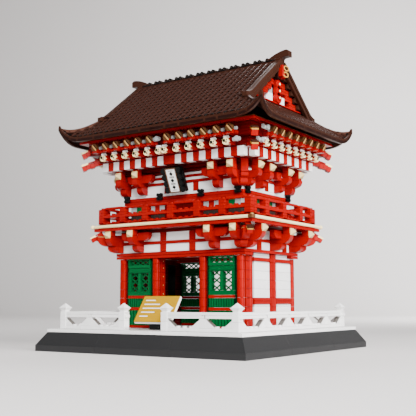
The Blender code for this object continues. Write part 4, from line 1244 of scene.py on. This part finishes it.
def pendant(palette, side, face, foot):
    """Three red lobes with pale studs, hanging from the peak."""
    for n in range(3):
        up = foot + 0.0065 + n * 0.0078
        palette["red"].rod((0.0, face, up), (0, 1, 0), 0.0062 - n * 0.0004, 0.0046, side, 20)
        palette["red"].rod((0.0, face + 0.0046, up), (0, 1, 0), 0.0026, 0.0010, side, 16)
        palette["cream"].rod((0.0, face + 0.0054, up + 0.0002), (0, 1, 0), 0.0013, 0.0008, side, 12)
    palette["red"].brick((-0.0046, 0.0046), (face, face + 0.0036), (foot + 0.0060, foot + 0.0270), side)


def peak_rings(palette, side):
    """The red hanger with two gold rings, under the ridge's end."""
    palette["red"].brick((-0.0044, -0.0010), (0.1000, 0.1056), (0.3020, 0.3150), side)
    palette["red"].brick((-0.0012, 0.0030), (0.1000, 0.1050), (0.3005, 0.3085), side)
    for along, up in ((0.0030, 0.3120), (0.0012, 0.3045)):
        palette["gold"].ring((along, 0.1062, up), (-0.5, 1, 0.25), 0.0030, 0.0008, side)
    palette["dark_brown"].brick((-0.0060, 0.0060), (0.0905, 0.1005), (0.3000, 0.3150), side)


def build_ridge():
    palette = Palette()
    half = 0.1015
    for low, high, width, colour in ((0.3180, 0.3205, 0.0060, "brown"), (0.3205, 0.3230, 0.0048, "dark_brown")):
        for along in steps(-half, half, 4 * STUD):
            palette[colour].brick(along, (-width, width), (low, high))
    pairs = 12
    for n in range(pairs):
        centre = (n - (pairs - 1) / 2) * 2 * STUD
        for knob in (-0.0029, 0.0029):
            palette["black"].rod((centre + knob, -0.0038, 0.3238), (0, 1, 0), 0.0024, 0.0076, sides=16)
            palette["dark_grey"].rod((centre + knob, -0.0040, 0.3238), (0, 1, 0), 0.0009, 0.0080, sides=10)
        palette["black"].brick((centre - 0.0050, centre + 0.0050), (-0.0052, 0.0052), (0.3212, 0.3226))
        palette["dark_grey"].rod((centre + STUD, -0.0048, 0.3226), (0, 1, 0), 0.0013, 0.0096, sides=12)
    for side in SHORT_SIDES:
        horn(palette, side)
    show("ridge", palette, "ridge")


def horn(palette, side):
    """The end of the ridge: a curved brick that sweeps up and out."""
    base, top, reach = 0.3195, 0.3318, 0.1130
    outline = [(0.0850, base), (0.1010, base), (0.1035, 0.3215)]
    outline += arc((0.1035, 0.3215), (0.1075, 0.3238), 4, bulge_out=False)
    outline += [(reach, 0.3238), (reach, top - 0.0016), (reach - 0.0030, top)]
    outline += [(0.0850 + (reach - 0.0030 - 0.0850) * (1 - n / 7), top - 0.0083 * (n / 7) ** 1.8) for n in range(1, 8)]
    palette["brown"].prism(outline, (-0.0039, 0.0039), side=side)
    palette["brown"].brick((-0.0052, 0.0052), (0.0960, 0.1030), (0.3120, 0.3232), side)


# Boards


def build_name_board():
    """The board over the entrance: a bare white face in a wooden frame, between black lobes."""
    palette = Palette()
    place = Matrix.Translation((0, 0.0638, 0.1872)) @ Matrix.Rotation(math.radians(-24), 4, "X")
    black = palette["black"]
    black.brick((-0.0138, 0.0138), (-0.0034, 0.0004), (-0.0143, 0.0143), "front", place)
    for sign in (-1, 1):
        for n in range(4):
            up = -0.0108 + n * 0.0072
            reach = 0.0098 if n % 2 else 0.0102
            black.rod((sign * reach, 0.0, up), (0, 1, 0), 0.0036, 0.0034, "front", 14, place=place)
            black.stud(sign * 0.0098, 0.0, up, "front", place @ Matrix.Translation((0, 0.0012, 0)))
    frame_half, tall, edge = 0.0072, 0.0140, 0.0011
    for bounds in (
        ((-frame_half, frame_half), (tall - edge, tall)), ((-frame_half, frame_half), (-tall, edge - tall)),
        ((-frame_half, edge - frame_half), (edge - tall, tall - edge)),
        ((frame_half - edge, frame_half), (edge - tall, tall - edge)),
    ):
        palette["bronze"].brick(bounds[0], (0.0010, 0.0036), bounds[1], "front", place)
    palette["white"].brick(
        (edge - frame_half, frame_half - edge), (0.0010, 0.0030), (edge - tall, tall - edge), "front", place
    )
    for n in range(3):
        centre = (n - 1) * 0.0076
        turn = place @ Matrix.Translation((0, 0.0030, centre)) @ Matrix.Rotation(math.radians(45), 4, "Y")
        black.brick((-0.0018, 0.0018), (0, 0.0002), (-0.0018, 0.0018), "front", turn, seam=0)
        for sign in (-1, 1):
            bar = (centre + sign * 0.0033 - 0.0003, centre + sign * 0.0033 + 0.0003)
            black.brick((-0.0032, 0.0032), (0.0030, 0.0032), bar, "front", place, seam=0)
    black.brick((-0.0038, 0.0038), (0.0504, 0.0630), (0.1902, 0.1938), "front")
    show("name_board", palette, "name_board", bevel=0.00015)


def build_sign():
    """The sloping board on the floor: a gold tile with a plain ruled pattern, on a black stand."""
    palette = Palette()
    half, tall = 0.0240, 0.0165
    palette["white"].brick((-half, half), (-tall, tall), (-0.0020, 0.0008), "front", sign_place())
    palette["board"].brick((0.0002 - half, half - 0.0002), (0.0002 - tall, tall - 0.0002), (0.0008, 0.0020), "front", sign_place())
    ruled = ((-0.0190, -0.0060, 0.0105), (-0.0190, 0.0020, 0.0055), (-0.0190, 0.0080, 0.0005), (-0.0190, -0.0010, -0.0045), (-0.0190, -0.0080, -0.0095))
    for low, high, level in ruled:
        palette["white"].brick((low, high), (level - 0.0006, level + 0.0006), (0.0020, 0.0021), "front", sign_place(), seam=0)
    low, high = 0.0242, 0.0400
    for up in courses(low, high, low, PLATE * 2):
        palette["black"].brick((-0.0078, 0.0078), (0.0885, 0.0958), up, "front")
    palette["black"].rod((-0.0080, 0.0940, 0.0330), (1, 0, 0), 0.0030, 0.0160, "front")
    show("sign_board", palette, "sign_board")


def sign_place():
    """The sign's own axes on the front: X along it, Y up its face and Z square to it."""
    tilt = math.radians(55.6)
    up_face = Vector((0, -math.cos(tilt), math.sin(tilt)))
    normal = Vector((0, math.sin(tilt), math.cos(tilt)))
    matrix = Matrix(((1, 0, 0), up_face, normal)).transposed().to_4x4()
    matrix.translation = Vector((0, 0.0916, 0.0450))
    return matrix


# Stage


def backdrop_material():
    material = bpy.data.materials.new("backdrop")
    material.use_nodes = True
    tree = material.node_tree
    shader = tree.nodes["Principled BSDF"]
    shader.inputs["Roughness"].default_value = 0.85
    shader.inputs["Specular IOR Level"].default_value = 0.15
    grain = add_node(tree, "ShaderNodeTexNoise", Scale=3.0, Detail=2.0)
    ramp = tree.nodes.new("ShaderNodeValToRGB")
    ramp.color_ramp.elements[0].color = (0.63, 0.605, 0.595, 1)
    ramp.color_ramp.elements[1].color = (0.65, 0.625, 0.615, 1)
    link(tree, grain, "Fac", ramp, "Fac")
    link(tree, ramp, "Color", shader, "Base Color")
    return material


def build_stage():
    """A pale floor that curves up into a backdrop, well behind the model."""
    bm = bmesh.new()
    reach, radius, height = 2.2, 1.2, 3.2
    profile = [(-3.0, 0.0), (reach, 0.0)]
    profile += [(reach + radius * math.sin(math.radians(10 * n)), radius * (1 - math.cos(math.radians(10 * n)))) for n in range(1, 10)]
    profile.append((reach + radius, height))
    rows = [[bm.verts.new((x, y, z - 0.0001)) for y, z in profile] for x in (-6.0, 6.0)]
    for n in range(len(profile) - 1):
        bm.faces.new((rows[0][n], rows[1][n], rows[1][n + 1], rows[0][n + 1]))
    mesh = bpy.data.meshes.new("stage_floor")
    bm.to_mesh(mesh)
    bm.free()
    mesh.materials.append(backdrop_material())
    mesh.shade_smooth()
    floor = bpy.data.objects.new("stage_floor", mesh)
    floor.rotation_euler = (0, 0, math.radians(34.57))
    bpy.context.scene.collection.objects.link(floor)


def area_light(name, azimuth, elevation, distance, size, power, colour=(1, 1, 1)):
    """A softbox that looks at the model. Azimuth 0 is in front of the gate, and 90 to its right."""
    light = bpy.data.lights.new(name, "AREA")
    light.shape = "RECTANGLE"
    light.size, light.size_y = size
    light.energy = power
    light.color = colour
    obj = bpy.data.objects.new(name, light)
    a, e = math.radians(azimuth), math.radians(elevation)
    towards = Vector((math.sin(a) * math.cos(e), -math.cos(a) * math.cos(e), math.sin(e)))
    obj.location = Vector((0, 0, 0.15)) + towards * distance
    obj.rotation_euler = towards.to_track_quat("Z", "Y").to_euler()
    bpy.context.scene.collection.objects.link(obj)


def build_lights():
    area_light("key", 40, 27, 1.9, (0.9, 0.9), 84)
    area_light("right_box", 84, 20, 1.6, (0.9, 1.3), 58)
    area_light("roof_glint", -152, 52, 1.8, (0.4, 0.4), 9)
    area_light("left_fill", -50, 12, 2.2, (1.2, 1.2), 6)
    backdrop_light()
    world = bpy.data.worlds.new("studio")
    world.use_nodes = True
    background = world.node_tree.nodes["Background"]
    background.inputs["Color"].default_value = (1.0, 0.985, 0.975, 1)
    background.inputs["Strength"].default_value = 0.14
    bpy.context.scene.world = world


def backdrop_light():
    """A softbox beside the view, turned to the backdrop and brighter at its lower right."""
    light = bpy.data.lights.new("backdrop_box", "AREA")
    light.shape = "RECTANGLE"
    light.size, light.size_y = 1.4, 1.4
    light.energy = 130
    obj = bpy.data.objects.new("backdrop_box", light)
    forward, right = Vector((-0.567, 0.824, 0)), Vector((0.824, 0.567, 0))
    obj.location = forward * 1.3 + right * 1.6 + Vector((0, 0, 0.9))
    target = forward * 3.3 + right * 0.7 + Vector((0, 0, 0.4))
    obj.rotation_euler = (obj.location - target).to_track_quat("Z", "Y").to_euler()
    bpy.context.scene.collection.objects.link(obj)


def build_camera():
    """The camera that was fitted to the photograph's brick grid."""
    data = bpy.data.cameras.new("camera")
    data.lens = 67.18
    data.sensor_width = 36.0
    data.clip_start, data.clip_end = 0.01, 50.0
    camera = bpy.data.objects.new("camera", data)
    camera.location = (0.51187, -0.74093, 0.05237)
    camera.rotation_euler = (math.radians(96.95), math.radians(0.086), math.radians(34.568))
    bpy.context.scene.collection.objects.link(camera)
    bpy.context.scene.camera = camera


build_camera()
build_plinth()
build_floor()
build_fence()
build_columns()
for screen_side in LONG_SIDES:
    build_screen(screen_side, "left", -1)
    build_screen(screen_side, "right", 1)
for wall_side in SHORT_SIDES:
    build_side_wall(wall_side)
build_lintel()
build_frieze()
build_lower_brackets()
build_deck()
build_rods()
build_railings()
build_upper_base()
build_upper_wall()
build_upper_brackets()
build_cornice()
build_rafters()
build_clips()
build_eave()
build_roof()
build_verges()
for gable_side in SHORT_SIDES:
    build_gable(gable_side)
build_ridge()
build_name_board()
build_sign()
build_stage()
build_lights()
